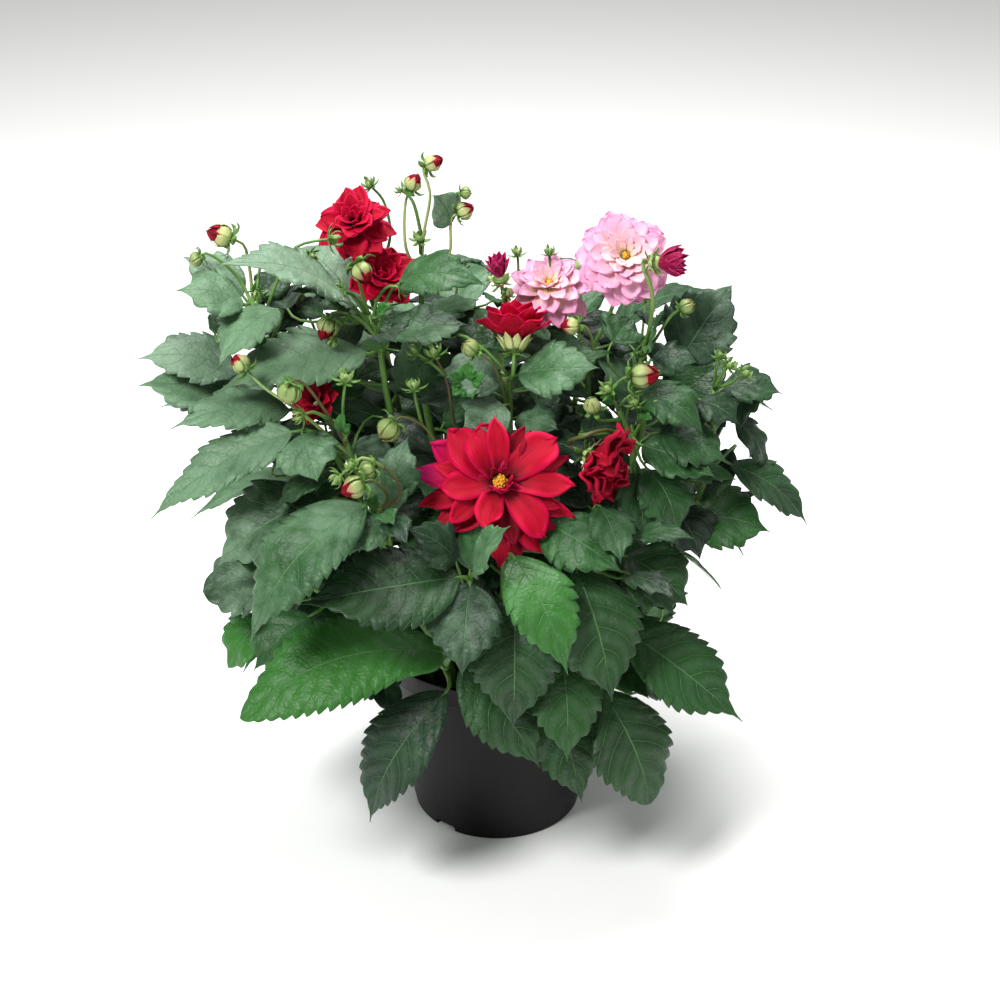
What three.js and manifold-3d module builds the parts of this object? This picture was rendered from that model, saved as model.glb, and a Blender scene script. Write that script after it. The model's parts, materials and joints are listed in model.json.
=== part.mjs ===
// Potted dahlia: a nursery pot of soil with leafy stems, blooms and buds.
// Millimetres, +Z up, origin at the centre of the pot's underside, front of the plant towards -Y.
import * as THREE from 'three';
import { mergeVertices } from 'three/addons/utils/BufferGeometryUtils.js';
import Module from 'manifold-3d';

const wasm = await Module();
wasm.setup();

// Driving dimensions.
const pot = {
  height: 135, baseRadius: 57.5, shoulderRadius: 78.5, rimRadius: 82.5, rimHeight: 15, wall: 2.2, floor: 3,
  sides: 20,
};
const notch = { count: 3, firstAngle: -128, width: 16, height: 5, depth: 9 };
const soil = { edgeLevel: 119, crown: 123 };
const seat = { gap: 0.35, stemDepth: 24, holeSlack: 1.7, holeSides: 5, upright: 12 };
const blade = {
  thick: 0.9, petioleWide: 2.4, petioleThick: 1.8, longPetiole: 30, fold: 0.14, arch: 0.13, rows: 3,
  belly: 0.72,
};
const petal = { thick: 0.75, cup: 0.12 };
const stalk = {
  girth: 3.3, stemSides: 4, stemStep: 42, flowerGirth: 1.3, flowerSides: 3, flowerStep: 30, rootStep: 5,
};
const clearance = {
  thick: 0.5, wide: 1.2, step: 6, steps: 8, archStep: 0.07, rootOverlap: 70, ownOverlap: 14,
};
const mergeTolerance = 0.12;
const facing = { outward: 0.35, front: 0.35, rearOutward: 0.5 };

// The viewpoint that places are read from.
const viewpoint = { middle: 500, focal: 1985, distance: 1300, tilt: 28, aim: new THREE.Vector3(2, 0, 232) };

const radians = THREE.MathUtils.degToRad;
const skyward = new THREE.Vector3(0, 0, 1);
const tilt = radians(viewpoint.tilt);
const eye = new THREE.Vector3(0, -Math.cos(tilt), Math.sin(tilt))
  .multiplyScalar(viewpoint.distance).add(viewpoint.aim);

// A place given as pixel across, pixel down, and depth in millimetres behind the pot's axis.
function at([across, down, depth]) {
  const right = (across - viewpoint.middle) / viewpoint.focal;
  const rise = (viewpoint.middle - down) / viewpoint.focal;
  const ray = new THREE.Vector3(
    right,
    Math.cos(tilt) + rise * Math.sin(tilt),
    rise * Math.cos(tilt) - Math.sin(tilt),
  );
  return ray.multiplyScalar((depth - eye.y) / ray.y).add(eye);
}

const shades = {
  pot: [0x1b1b19, 0.55], soil: [0x2e2119, 0.95], leaf: [0x3f6b45, 0.6], red: [0xc4001f, 0.6],
  darkRed: [0x8d0719, 0.65], pink: [0xe9a3c6, 0.6], magenta: [0xa80f52, 0.6], disc: [0xe8b422, 0.8],
};

function material(shade) {
  const [color, roughness] = shades[shade];
  return new THREE.MeshStandardMaterial({ color, roughness, metalness: 0 });
}

// Closed meshes and solids

function solid(geometry) {
  const bare = geometry.clone();
  bare.deleteAttribute('normal');
  bare.deleteAttribute('uv');
  const merged = mergeVertices(bare, 1e-4);
  const corners = merged.index.array;
  const triangles = [];
  for (let i = 0; i < corners.length; i += 3) {
    const [a, b, c] = corners.slice(i, i + 3);
    if (a !== b && b !== c && c !== a) triangles.push(a, b, c);
  }
  return new wasm.Manifold(new wasm.Mesh({
    numProp: 3,
    vertProperties: Float32Array.from(merged.attributes.position.array),
    triVerts: Uint32Array.from(triangles),
  }));
}

function joined(solids) {
  return solids.reduce((whole, next) => whole.add(next));
}

// The outer body of a joined solid: sealed hollows are filled and loose scraps are dropped.
function outerBody(whole) {
  return whole.decompose().sort((a, b) => b.volume() - a.volume())[0];
}

function surface(whole) {
  const { vertProperties, triVerts } = outerBody(whole).simplify(mergeTolerance).getMesh();
  const geometry = new THREE.BufferGeometry();
  geometry.setAttribute('position', new THREE.BufferAttribute(vertProperties, 3));
  geometry.setIndex(new THREE.BufferAttribute(triVerts, 1));
  return geometry;
}

// A thin closed sheet: mid-surface points with a normal and half a thickness, the triangles seen from
// the upper face, and the rim's corners in the same turning sense.
function sheet(points, triangles, rim) {
  const position = [];
  for (const side of [1, -1]) {
    for (const { place, normal, half } of points) {
      position.push(...place.clone().addScaledVector(normal, side * half).toArray());
    }
  }
  const under = points.length;
  const index = [];
  for (const [a, b, c] of triangles) index.push(a, b, c, under + a, under + c, under + b);
  rim.forEach((a, i) => {
    const b = rim[(i + 1) % rim.length];
    index.push(b, a, under + a, b, under + a, under + b);
  });
  const geometry = new THREE.BufferGeometry();
  geometry.setAttribute('position', new THREE.Float32BufferAttribute(position, 3));
  geometry.setIndex(index);
  return geometry;
}

function regularSection(radius, sides) {
  const corner = (i) => {
    const angle = (2 * Math.PI * i) / sides;
    return new THREE.Vector2(radius * Math.cos(angle), radius * Math.sin(angle));
  };
  return new THREE.Shape(Array.from({ length: sides }, (_, i) => corner(i)));
}

function tube(points, radius, sides, step) {
  const extrudePath = new THREE.CatmullRomCurve3(points, false, 'centripetal');
  const steps = Math.max(2, Math.round(extrudePath.getLength() / step));
  const section = regularSection(radius, sides);
  return new THREE.ExtrudeGeometry(section, { steps, extrudePath, bevelEnabled: false });
}

// A turned shape round +Z from [radius, height] pairs.
function turned(profile, sides) {
  const points = profile.map(([radius, height]) => new THREE.Vector2(radius, height));
  return new THREE.LatheGeometry(points, sides).rotateX(Math.PI / 2);
}

// Pot and soil

const taper = (pot.shoulderRadius - pot.baseRadius) / (pot.height - pot.rimHeight);
const wallRadius = (height) => pot.baseRadius + taper * height;

function potSolid() {
  const rimBottom = pot.height - pot.rimHeight;
  const body = solid(turned([
    [0, 0],
    [pot.baseRadius, 0],
    [pot.shoulderRadius, rimBottom],
    [pot.rimRadius - 0.8, rimBottom],
    [pot.rimRadius, pot.height],
    [pot.rimRadius - pot.wall, pot.height],
    [pot.shoulderRadius - pot.wall, rimBottom],
    [wallRadius(pot.floor) - pot.wall, pot.floor],
    [0, pot.floor],
  ], pot.sides));
  const cuts = Array.from({ length: notch.count }, (_, i) => {
    const angle = radians(notch.firstAngle + (360 * i) / notch.count);
    const cut = new THREE.BoxGeometry(notch.depth * 2, notch.width, notch.height * 2);
    return solid(cut.translate(pot.baseRadius, 0, 0).rotateZ(angle));
  });
  return cuts.reduce((rest, cut) => rest.subtract(cut), body);
}

function soilSolid(holes) {
  const bottom = pot.floor + seat.gap;
  const inner = (height) => wallRadius(height) - pot.wall - seat.gap;
  const body = solid(turned([
    [0, bottom],
    [inner(bottom), bottom],
    [inner(soil.edgeLevel), soil.edgeLevel],
    [0, soil.crown],
  ], pot.sides));
  const floor = soil.edgeLevel - seat.stemDepth - seat.gap;
  const drilled = holes.map(({ x, y, radius }) => {
    const reach = (radius + seat.holeSlack) / Math.cos(Math.PI / seat.holeSides);
    const height = soil.crown + 5 - floor;
    const drill = new THREE.CylinderGeometry(reach, reach, height, seat.holeSides).rotateX(Math.PI / 2);
    return solid(drill.translate(x, y, floor + height / 2));
  });
  return drilled.reduce((rest, cut) => rest.subtract(cut), body);
}

// Leaves

// Half the width of a blade along its rib, as a share of its widest place. A high belly is wide at the tip.
const bladeProfile = (along, belly) => Math.sin(Math.PI * along ** belly) ** 1.05;

function leafForm(spec) {
  const form = { ...blade, ...facing, ...spec };
  const { root, base, tip, width, arch, fold, rows, belly, outward, front } = form;
  const chord = new THREE.Vector3().subVectors(tip, base);
  const along = chord.clone().normalize();
  const middle = new THREE.Vector3().addVectors(base, tip).multiplyScalar(0.5);
  const away = middle.clone().setZ(0).normalize();
  const lift = new THREE.Vector3(0, -front, 1).addScaledVector(away, outward);
  const normal = lift.addScaledVector(along, -lift.dot(along)).normalize();
  const side = new THREE.Vector3().crossVectors(along, normal);
  const knee = middle.addScaledVector(normal, 2 * arch * chord.length());
  const rib = new THREE.QuadraticBezierCurve3(base, knee, tip);
  return { root, rib, side, normal, width, fold, rows, belly };
}

function leafSheet(form, extraThick = 0, extraWide = 0) {
  const { root, rib, side, rows, fold } = form;
  const half = blade.thick / 2 + extraThick;
  const points = [];
  const add = (place, normal, halfThick) => points.push({ place, normal, half: halfThick }) - 1;

  function edgePair(place, normal, across, reach, halfThick) {
    const right = place.clone().addScaledVector(across, reach);
    const left = place.clone().addScaledVector(across, -reach);
    return [add(right, normal, halfThick), add(left, normal, halfThick)];
  }

  // Leaf stalk, from the stem to the foot of the blade.
  const foot = rib.getPoint(0);
  const leaving = rib.getTangent(0);
  const stretch = foot.distanceTo(root);
  const bend = foot.clone().addScaledVector(leaving, -0.45 * stretch);
  const petiole = new THREE.QuadraticBezierCurve3(root, bend, foot);
  const petioleStops = stretch > blade.longPetiole ? [0, 0.5, 1] : [0, 1];
  const pairs = petioleStops.map((stop) => {
    const heading = petiole.getTangent(stop);
    const across = side.clone().addScaledVector(heading, -side.dot(heading)).normalize();
    const normal = new THREE.Vector3().crossVectors(across, heading);
    const halfThick = stop < 1 ? blade.petioleThick / 2 + extraThick : half;
    return edgePair(petiole.getPoint(stop), normal, across, blade.petioleWide / 2 + extraThick, halfThick);
  });

  // Toothed blade: rib points, and two edge points for each tooth on either side.
  const ribPoints = [];
  const edges = [];
  const count = 2 * rows;
  for (let i = 1; i < count; i += 1) {
    const tooth = i % 2 === 1;
    const along = (i + (tooth ? 0.35 : 0)) / count;
    const reach = (form.width / 2) * bladeProfile(along, form.belly) * (tooth ? 1.1 : 0.86) + extraWide;
    const normal = new THREE.Vector3().crossVectors(side, rib.getTangent(along));
    const place = rib.getPoint(along);
    if (!tooth) ribPoints.push(add(place, normal, half));
    const lifted = place.clone().addScaledVector(normal, fold * reach);
    edges.push(edgePair(lifted, normal, side, reach, tooth ? extraThick : half));
  }
  const tipNormal = new THREE.Vector3().crossVectors(side, rib.getTangent(1));
  const end = add(rib.getPoint(1), tipNormal, extraThick);

  const triangles = [];
  for (let i = 0; i + 1 < pairs.length; i += 1) {
    const [[r0, l0], [r1, l1]] = [pairs[i], pairs[i + 1]];
    triangles.push([r0, r1, l1], [r0, l1, l0]);
  }
  const [footRight, footLeft] = pairs.at(-1);
  const [[tooth0R, tooth0L], [notch0R, notch0L]] = edges;
  triangles.push([footRight, tooth0R, notch0R], [footRight, notch0R, ribPoints[0]]);
  triangles.push([footRight, ribPoints[0], footLeft]);
  triangles.push([footLeft, ribPoints[0], notch0L], [footLeft, notch0L, tooth0L]);
  for (let row = 1; row < rows; row += 1) {
    const here = ribPoints[row - 1];
    const [nearR, nearL] = edges[2 * row - 1];
    const [toothR, toothL] = edges[2 * row];
    triangles.push([here, nearR, toothR], [here, toothL, nearL]);
    if (row === rows - 1) {
      triangles.push([here, toothR, end], [here, end, toothL]);
    } else {
      const [farR, farL] = edges[2 * row + 1];
      triangles.push([here, toothR, farR], [here, farR, ribPoints[row]]);
      triangles.push([here, farL, toothL], [here, ribPoints[row], farL]);
    }
  }
  const right = [...pairs, ...edges].map(([r]) => r);
  const left = [...pairs, ...edges].map(([, l]) => l).reverse();
  return sheet(points, triangles, [...right, end, ...left]);
}

// Petals, buds and bracts, each in a frame of its own with +Z along the flower's axis

// Points of one petal, past its root, with the shares of its length and width where it is given points.
function petalPoints({ length, width, rise, curl, broad = false }, [radius, level], angle) {
  const stops = broad ? [[0.4, 0.38], [0.74, 0.5]] : [[0.6, 0.5]];
  const step = (turn) => new THREE.Vector3(Math.cos(radians(turn)), 0, Math.sin(radians(turn)))
    .multiplyScalar(length / 2);
  const root = new THREE.Vector3(radius, 0, level);
  const knee = root.clone().add(step(rise));
  const rib = new THREE.QuadraticBezierCurve3(root, knee, knee.clone().add(step(rise - curl)));
  const side = new THREE.Vector3(0, -1, 0);
  const points = [];
  for (const [along, share] of stops) {
    const place = rib.getPoint(along);
    const ahead = rib.getTangent(along);
    const normal = new THREE.Vector3().crossVectors(side, ahead);
    const lifted = place.clone().addScaledVector(normal, petal.cup * width * share);
    for (const reach of [1, 0, -1]) {
      const spot = (reach ? lifted : place).clone().addScaledVector(side, reach * width * share);
      points.push({ place: spot, normal, half: petal.thick / 2 });
    }
  }
  points.push({ place: rib.getPoint(1), normal: skyward.clone(), half: 0 });
  const about = (vector) => vector.clone().applyAxisAngle(skyward, angle);
  return points.map(({ place, normal, half }) => ({ place: about(place), normal: about(normal), half }));
}

// Layers of petals on a hub: each layer's petals grow from every other edge of the hub's outline.
function petalLayers({ petals, hub, layers }) {
  const columns = 2 * petals;
  const position = [];
  const index = [];
  const add = (vector) => position.push(...vector.toArray()) / 3 - 1;
  const hubRing = (level) => Array.from({ length: columns }, (_, i) => {
    const angle = (2 * Math.PI * i) / columns;
    return add(new THREE.Vector3(hub * Math.cos(angle), hub * Math.sin(angle), level));
  });
  const wall = (low, high, i) => {
    const j = (i + 1) % columns;
    index.push(low[i], low[j], high[j], low[i], high[j], high[i]);
  };
  let below = null;
  layers.forEach((layer, k) => {
    const low = hubRing(layer.level - petal.thick / 2);
    const high = hubRing(layer.level + petal.thick / 2);
    if (below) for (let i = 0; i < columns; i += 1) wall(below, low, i);
    else {
      const foot = add(new THREE.Vector3(0, 0, layer.level - petal.thick / 2));
      for (let i = 0; i < columns; i += 1) index.push(foot, low[(i + 1) % columns], low[i]);
    }
    for (let i = k % 2; i < columns + (k % 2); i += 2) {
      const [right, left] = [i % columns, (i + 1) % columns];
      const form = { ...layer, length: layer.length * (layer.lengths?.[(i - (k % 2)) / 2] ?? 1) };
      const points = petalPoints(form, [hub, layer.level], ((i + 0.5) * 2 * Math.PI) / columns);
      const onFace = ({ place, normal, half }, side) => {
        const spot = place.clone().addScaledVector(normal, side * half);
        return add(spot);
      };
      const upper = points.map((point) => onFace(point, 1));
      const lower = points.map((point, n) => (point.half ? onFace(point, -1) : upper[n]));
      petalFaces(index, [high[right], high[left], ...upper], [low[right], low[left], ...lower]);
      wall(low, high, left);
    }
    below = high;
  });
  const crown = add(new THREE.Vector3(0, 0, layers.at(-1).level + petal.thick / 2));
  for (let i = 0; i < columns; i += 1) index.push(crown, below[i], below[(i + 1) % columns]);
  const geometry = new THREE.BufferGeometry();
  geometry.setAttribute('position', new THREE.Float32BufferAttribute(position, 3));
  geometry.setIndex(index);
  return geometry;
}

// Faces of one petal between its upper and lower points: root right and left, rows of three, then the tip.
function petalFaces(index, upper, lower) {
  const tip = upper.length - 1;
  const faces = [[0, 2, 3], [0, 3, 1], [1, 3, 4]];
  for (let row = 2; row + 3 < tip; row += 3) {
    faces.push([row, row + 3, row + 4], [row, row + 4, row + 1]);
    faces.push([row + 1, row + 4, row + 2], [row + 2, row + 4, row + 5]);
  }
  faces.push([tip - 3, tip, tip - 2], [tip - 2, tip, tip - 1]);
  for (const [a, b, c] of faces) {
    index.push(upper[a], upper[b], upper[c], lower[a], lower[c], lower[b]);
  }
  const right = [0];
  const left = [1];
  for (let row = 2; row < tip; row += 3) {
    right.push(row);
    left.push(row + 2);
  }
  const rim = [...right, tip, ...left.reverse()];
  for (let i = 0; i + 1 < rim.length; i += 1) {
    const [a, b] = [rim[i], rim[i + 1]];
    index.push(upper[b], upper[a], lower[a], upper[b], lower[a], lower[b]);
  }
}

// A closed shape of rings round +Z. Each ring has [radius, height] for its points and for its hollows.
function ringed(points, rings) {
  const columns = 2 * points;
  const position = rings.flatMap((ring) => Array.from({ length: columns }, (_, column) => {
    const [radius, height] = ring[column % ring.length];
    const angle = (2 * Math.PI * column) / columns;
    return [radius * Math.cos(angle), radius * Math.sin(angle), height];
  }).flat());
  const index = [];
  for (let band = 0; band + 1 < rings.length; band += 1) {
    for (let column = 0; column < columns; column += 1) {
      const next = (column + 1) % columns;
      const [a, b] = [band * columns + column, band * columns + next];
      const [c, d] = [b + columns, a + columns];
      if (column % 2) index.push(a, b, d, b, c, d);
      else index.push(a, b, c, a, c, d);
    }
  }
  const geometry = new THREE.BufferGeometry();
  geometry.setAttribute('position', new THREE.Float32BufferAttribute(position, 3));
  geometry.setIndex(index);
  return geometry;
}

// A ring of bracts round a foot: its underside, its upper side and the neck it grows from.
function bractRings([reach, level], [footRadius, footLevel], [neckRadius, neckLevel]) {
  const [point, foot, neck] = [[reach, level], [footRadius, footLevel], [neckRadius, neckLevel]];
  return [[point, foot], [point, neck], [neck]];
}

const budBracts = (r) => bractRings([1.5 * r, -0.35 * r], [0.4 * r, 0.05 * r], [0.62 * r, 0.3 * r]);
const tippedTop = (r) => [[[r, 0.85 * r]], [[0.72 * r, 1.35 * r]], [[0, 1.35 * r]]];
const starRings = (r) => {
  const point = [2 * r, 0.4 * r];
  return [[point, [0.4 * r, 0]], [point, [0.5 * r, 0.5 * r]], [[0, 1.2 * r]]];
};
const budForms = {
  round: { points: 3, rings: (r) => [...budBracts(r), [[r, 0.95 * r]], [[0, 1.85 * r]]] },
  tipped: { points: 3, rings: (r) => [...budBracts(r), ...tippedTop(r)] },
  star: { points: 4, rings: starRings },
};

function budSolid(kind, size) {
  const { points, rings } = budForms[kind];
  return solid(ringed(points, [[[0, -0.1 * size]], ...rings(size)]));
}

// The coloured petals that show at the top of an opening bud.
function budTipSolid(size) {
  const foot = 1.35 * size + seat.gap;
  return solid(turned([[0, foot], [0.7 * size, foot], [0.62 * size, 1.8 * size], [0, 2.5 * size]], 6));
}

function placedAlong(direction, origin) {
  const turn = new THREE.Quaternion().setFromUnitVectors(skyward, direction);
  return new THREE.Matrix4().compose(origin, turn, new THREE.Vector3(1, 1, 1));
}

function moved(whole, matrix) {
  return solid(surface(whole).applyMatrix4(matrix));
}

// The green cup under a bloom, with its level top just below the frame's origin.
function calyxSolid(r) {
  const bracts = bractRings([1.35 * r, -1.5 * r], [0.4 * r, -1.1 * r], [0.7 * r, -0.75 * r]);
  return solid(ringed(5, [[[0, -1.2 * r]], ...bracts, [[r, -seat.gap]], [[0, -seat.gap]]]));
}

function discSolid({ layers, disc }) {
  const level = layers.at(-1).level + petal.thick / 2 + seat.gap;
  const dome = [[0, level], [disc, level], [0.8 * disc, level + 0.5 * disc], [0, level + 0.7 * disc]];
  return solid(turned(dome, 7));
}

// Blooms, from the outer layer of petals in. The frame's origin is the foot of the hub.

const blooms = {
  largeRed: {
    shade: 'red', petals: 9, hub: 9, disc: 7.5, calyx: 9,
    layers: [
      { level: 1, length: 42, width: 24, rise: 6, curl: 18 },
      { level: 8, length: 43, width: 22, rise: 30, curl: 30, broad: true },
    ],
  },
  doubleRed: {
    shade: 'red', petals: 6, hub: 5, calyx: 6.5,
    layers: [
      { level: 1, length: 25, width: 22, rise: 4, curl: 26 },
      { level: 4, length: 22, width: 17, rise: 36, curl: 34 },
      { level: 7, length: 13, width: 8, rise: 64, curl: 34 },
    ],
  },
  cupRed: {
    shade: 'red', petals: 7, hub: 5, calyx: 6.5,
    layers: [
      { level: 1, length: 25, width: 18, rise: 18, curl: 6 },
      { level: 5, length: 22, width: 14, rise: 50, curl: 10 },
    ],
  },
  crumpledRed: {
    shade: 'darkRed', petals: 6, hub: 4.5, calyx: 6.5,
    layers: [
      { level: 1, length: 26, width: 18, rise: 12, curl: -14 },
      { level: 5, length: 23, width: 13, rise: 45, curl: 6 },
    ],
  },
  pinkWide: {
    shade: 'pink', petals: 8, hub: 6.5, disc: 5, calyx: 7,
    layers: [
      { level: 1, length: 30, width: 20, rise: -2, curl: 4 },
      { level: 4.5, length: 25, width: 15, rise: 22, curl: 10 },
      { level: 8, length: 18, width: 9.5, rise: 44, curl: 14 },
    ],
  },
  pinkDouble: {
    shade: 'pink', petals: 7, hub: 6, disc: 4, calyx: 7,
    layers: [
      { level: 1, length: 26, width: 19, rise: 2, curl: 12 },
      { level: 4.5, length: 20, width: 12, rise: 28, curl: 12 },
      { level: 8, length: 13, width: 8, rise: 54, curl: 14 },
    ],
  },
  opening: {
    shade: 'magenta', petals: 5, hub: 3.5, calyx: 5.5,
    layers: [
      { level: 1, length: 17, width: 8, rise: 58, curl: -16 },
      { level: 4, length: 13, width: 5, rise: 74, curl: -8 },
    ],
  },
  smallRed: {
    shade: 'darkRed', petals: 6, hub: 4, calyx: 5,
    layers: [
      { level: 1, length: 16, width: 12, rise: 20, curl: 14 },
      { level: 4, length: 12, width: 7, rise: 54, curl: 10 },
    ],
  },
};

// Leafy stems. hole is the place in the soil; route and the rest are places for at().
// A leaf, bud or bloom grows at route's point number node, or at a place of its own named root.

const stems = {
  rear_left: {
    hole: [-36, 6],
    route: [[399, 450, -14], [385, 385, -12], [381, 355, -10], [368, 312, 0]],
    leaves: [
      { node: 3, base: [352, 304, -3], tip: [217, 265, -28], width: 54, rows: 4 },
      { node: 3, base: [398, 284, 2], tip: [487, 286, 4], width: 34 },
      { node: 2, base: [366, 354, -16], tip: [217, 393, -52], width: 58, rows: 4 },
      { node: 3, base: [350, 292, 10], tip: [295, 252, 32], width: 40 },
      { node: 2, base: [390, 334, -8], tip: [470, 325, 2], width: 40 },
    ],
    buds: [
      { node: 3, via: [[360, 285, -6], [356, 262, -10]],
        head: [362, 272, -14], kind: 'tipped', size: 6.4, name: 'nodding' },
      { node: 2, via: [[373, 334, -14], [350, 314, -20], [332, 313, -26]],
        head: [327, 327, -28], kind: 'tipped', size: 6.2, name: 'hanging' },
      { node: 3, via: [[378, 298, -4], [390, 286, -8]], head: [406, 289, -12], kind: 'star', size: 4 },
    ],
  },
  top_left: {
    hole: [-14, 24],
    route: [[425, 400, 18], [422, 330, 34], [421, 262, 43]],
    leaves: [
      { node: 2, base: [424, 264, 22], tip: [486, 268, 34], width: 30 },
      { node: 1, base: [428, 322, 24], tip: [480, 300, 46], width: 36 },
      { node: 0, base: [430, 398, 22], tip: [402, 335, 26], width: 44 },
      { root: [450, 229, 26], base: [451, 224, 25], tip: [432, 195, 18], width: 15, rows: 2 },
    ],
    buds: [
      { node: 2, via: [[421, 230, 24], [426, 178, 22]],
        head: [431, 163, 20], kind: 'tipped', size: 6.4, name: 'top' },
      { node: 2, via: [[406, 248, 28], [406, 200, 28]],
        head: [413, 184, 27], kind: 'tipped', size: 6, name: 'top_left' },
      { node: 2, via: [[446, 262, 24], [450, 225, 26]],
        head: [461, 211, 27], kind: 'tipped', size: 5.3, name: 'top_right' },
      { root: [450, 225, 26], via: [[451, 206, 28], [457, 193, 28]],
        head: [466, 193, 28], kind: 'round', size: 3.6 },
    ],
  },
  red_rear: {
    hole: [-42, 36],
    route: [[392, 380, 38], [378, 318, 60], [364, 280, 58]],
    leaves: [
      { node: 1, base: [366, 305, 40], tip: [300, 290, 82], width: 44 },
      { node: 0, base: [378, 372, 42], tip: [310, 345, 92], width: 48, rows: 4 },
    ],
    buds: [
      { node: 2, via: [[390, 238, 68], [383, 200, 70]], head: [368, 183, 66], kind: 'star', size: 4 },
    ],
    blooms: [
      { name: 'red_upper', kind: 'doubleRed', node: 2, via: [],
        centre: [354, 222, 24], face: [-0.1, -0.66, 0.75] },
      { name: 'red_lower', kind: 'cupRed', node: 1, via: [[382, 298, 40]],
        centre: [382, 278, 24], face: [0.2, -0.5, 0.84] },
    ],
  },
  side_left: {
    hole: [-58, -8],
    route: [[345, 470, -22], [300, 410, -22], [268, 360, -16], [252, 300, -6]],
    leaves: [
      { node: 3, base: [243, 296, 2], tip: [183, 257, 16], width: 26 },
      { node: 3, base: [244, 304, -8], tip: [176, 291, -14], width: 32 },
      { node: 3, base: [277, 309, -14], tip: [219, 367, -50], width: 40 },
      { node: 2, base: [240, 370, -14], tip: [138, 359, -24], width: 40 },
      { node: 1, base: [240, 400, -22], tip: [138, 386, -30], width: 28 },
      { node: 1, base: [275, 386, -28], tip: [161, 407, -50], width: 46 },
      { node: 1, base: [290, 410, -34], tip: [171, 429, -58], width: 38 },
    ],
    buds: [
      { node: 3, via: [[249, 265, -4], [243, 244, -6]],
        head: [221, 235, -8], kind: 'tipped', size: 6.7, name: 'left' },
      { node: 3, via: [[240, 280, 2], [222, 262, 2], [206, 253, 2]],
        head: [196, 259, 1], kind: 'round', size: 4.2 },
      { node: 3, via: [[260, 268, -8]], head: [270, 251, -8], kind: 'round', size: 4.2 },
      { node: 3, via: [[282, 270, -6], [296, 247, -2], [322, 240, 0]],
        head: [336, 239, 0], kind: 'star', size: 5 },
    ],
  },
  mid_left: {
    hole: [-42, -32],
    route: [[378, 520, -50], [345, 440, -60]],
    leaves: [
      { node: 1, base: [292, 432, -62], tip: [151, 519, -78], width: 34, rows: 4, arch: 0.09, belly: 0.62 },
      { node: 1, base: [302, 434, -68], tip: [318, 482, -90], width: 40 },
      { node: 0, base: [322, 500, -66], tip: [217, 568, -84], width: 60, rows: 4 },
      { node: 1, base: [352, 448, -62], tip: [395, 470, -84], width: 34 },
    ],
    buds: [
      { node: 1, via: [[330, 418, -68], [303, 383, -76], [294, 380, -78]],
        head: [289, 393, -80], kind: 'round', size: 6.6 },
      { node: 1, via: [[300, 412, -76], [262, 386, -74]],
        head: [241, 364, -68], kind: 'tipped', size: 5.5, name: 'low_left' },
    ],
    blooms: [
      { name: 'red_hidden', kind: 'smallRed', node: 1, via: [[335, 425, -52]],
        centre: [315, 402, -50], face: [-0.3, -0.5, 0.81] },
    ],
  },
  front_left: {
    hole: [-30, -54],
    route: [[402, 590, -72], [373, 505, -86]],
    leaves: [
      { node: 1, base: [366, 505, -90], tip: [250, 645, -132], width: 54, rows: 4, arch: 0.2 },
      { node: 1, base: [384, 518, -92], tip: [347, 553, -108], width: 34 },
      { node: 1, base: [390, 512, -86], tip: [381, 470, -88], width: 28 },
      { node: 1, base: [366, 512, -90], tip: [350, 556, -104], width: 22, rows: 2 },
      { node: 1, base: [395, 500, -82], tip: [408, 437, -74], width: 30 },
    ],
    buds: [
      { node: 1, via: [[398, 500, -94], [398, 482, -100], [382, 466, -104]],
        head: [366, 471, -107], kind: 'round', size: 5.6 },
      { node: 1, via: [[388, 496, -104], [370, 480, -118]],
        head: [354, 487, -122], kind: 'tipped', size: 6.9, name: 'front_left' },
      { root: [383, 467, -104], via: [[362, 458, -108]],
        head: [336, 480, -112], kind: 'star', size: 4.4 },
    ],
  },
  front_centre: {
    hole: [-12, -60],
    route: [[468, 640, -84], [470, 577, -94]],
    leaves: [
      { node: 1, base: [460, 577, -100], tip: [299, 605, -132], width: 60, rows: 4, arch: 0.1 },
      { node: 1, base: [473, 572, -98], tip: [510, 526, -126], width: 28 },
      { node: 1, base: [470, 570, -94], tip: [482, 517, -108], width: 24 },
      { node: 1, base: [470, 584, -102], tip: [462, 677, -142], width: 46 },
      { node: 1, base: [456, 562, -90], tip: [404, 526, -98], width: 30 },
    ],
  },
  low_left: {
    hole: [-44, -45],
    route: [[446, 668, -90]],
    leaves: [
      { node: 0, base: [442, 652, -98], tip: [240, 719, -128], width: 64, rows: 5, belly: 1, arch: 0.11 },
      { node: 0, base: [446, 692, -96], tip: [370, 822, -116], width: 48, rows: 4, arch: 0.19 },
      { node: 0, base: [462, 664, -98], tip: [540, 768, -122], width: 46, rows: 4 },
    ],
  },
  low_side: {
    hole: [-57, -25],
    route: [[330, 600, -52], [300, 575, -60]],
    leaves: [
      { node: 1, base: [276, 580, -62], tip: [203, 592, -70], width: 54, belly: 1 },
      { node: 0, base: [310, 616, -76], tip: [254, 671, -94], width: 42 },
      { node: 0, base: [274, 612, -62], tip: [228, 668, -74], width: 40, belly: 1 },
      { node: 1, base: [286, 560, -66], tip: [225, 560, -80], width: 38 },
    ],
  },
  bloom_front: {
    hole: [8, -28],
    route: [[505, 620, -44], [503, 545, -56]],
    leaves: [
      { node: 1, base: [545, 522, -76], tip: [622, 573, -108], width: 46 },
    ],
    blooms: [
      { name: 'red_front', kind: 'largeRed', node: 1, via: [],
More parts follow.
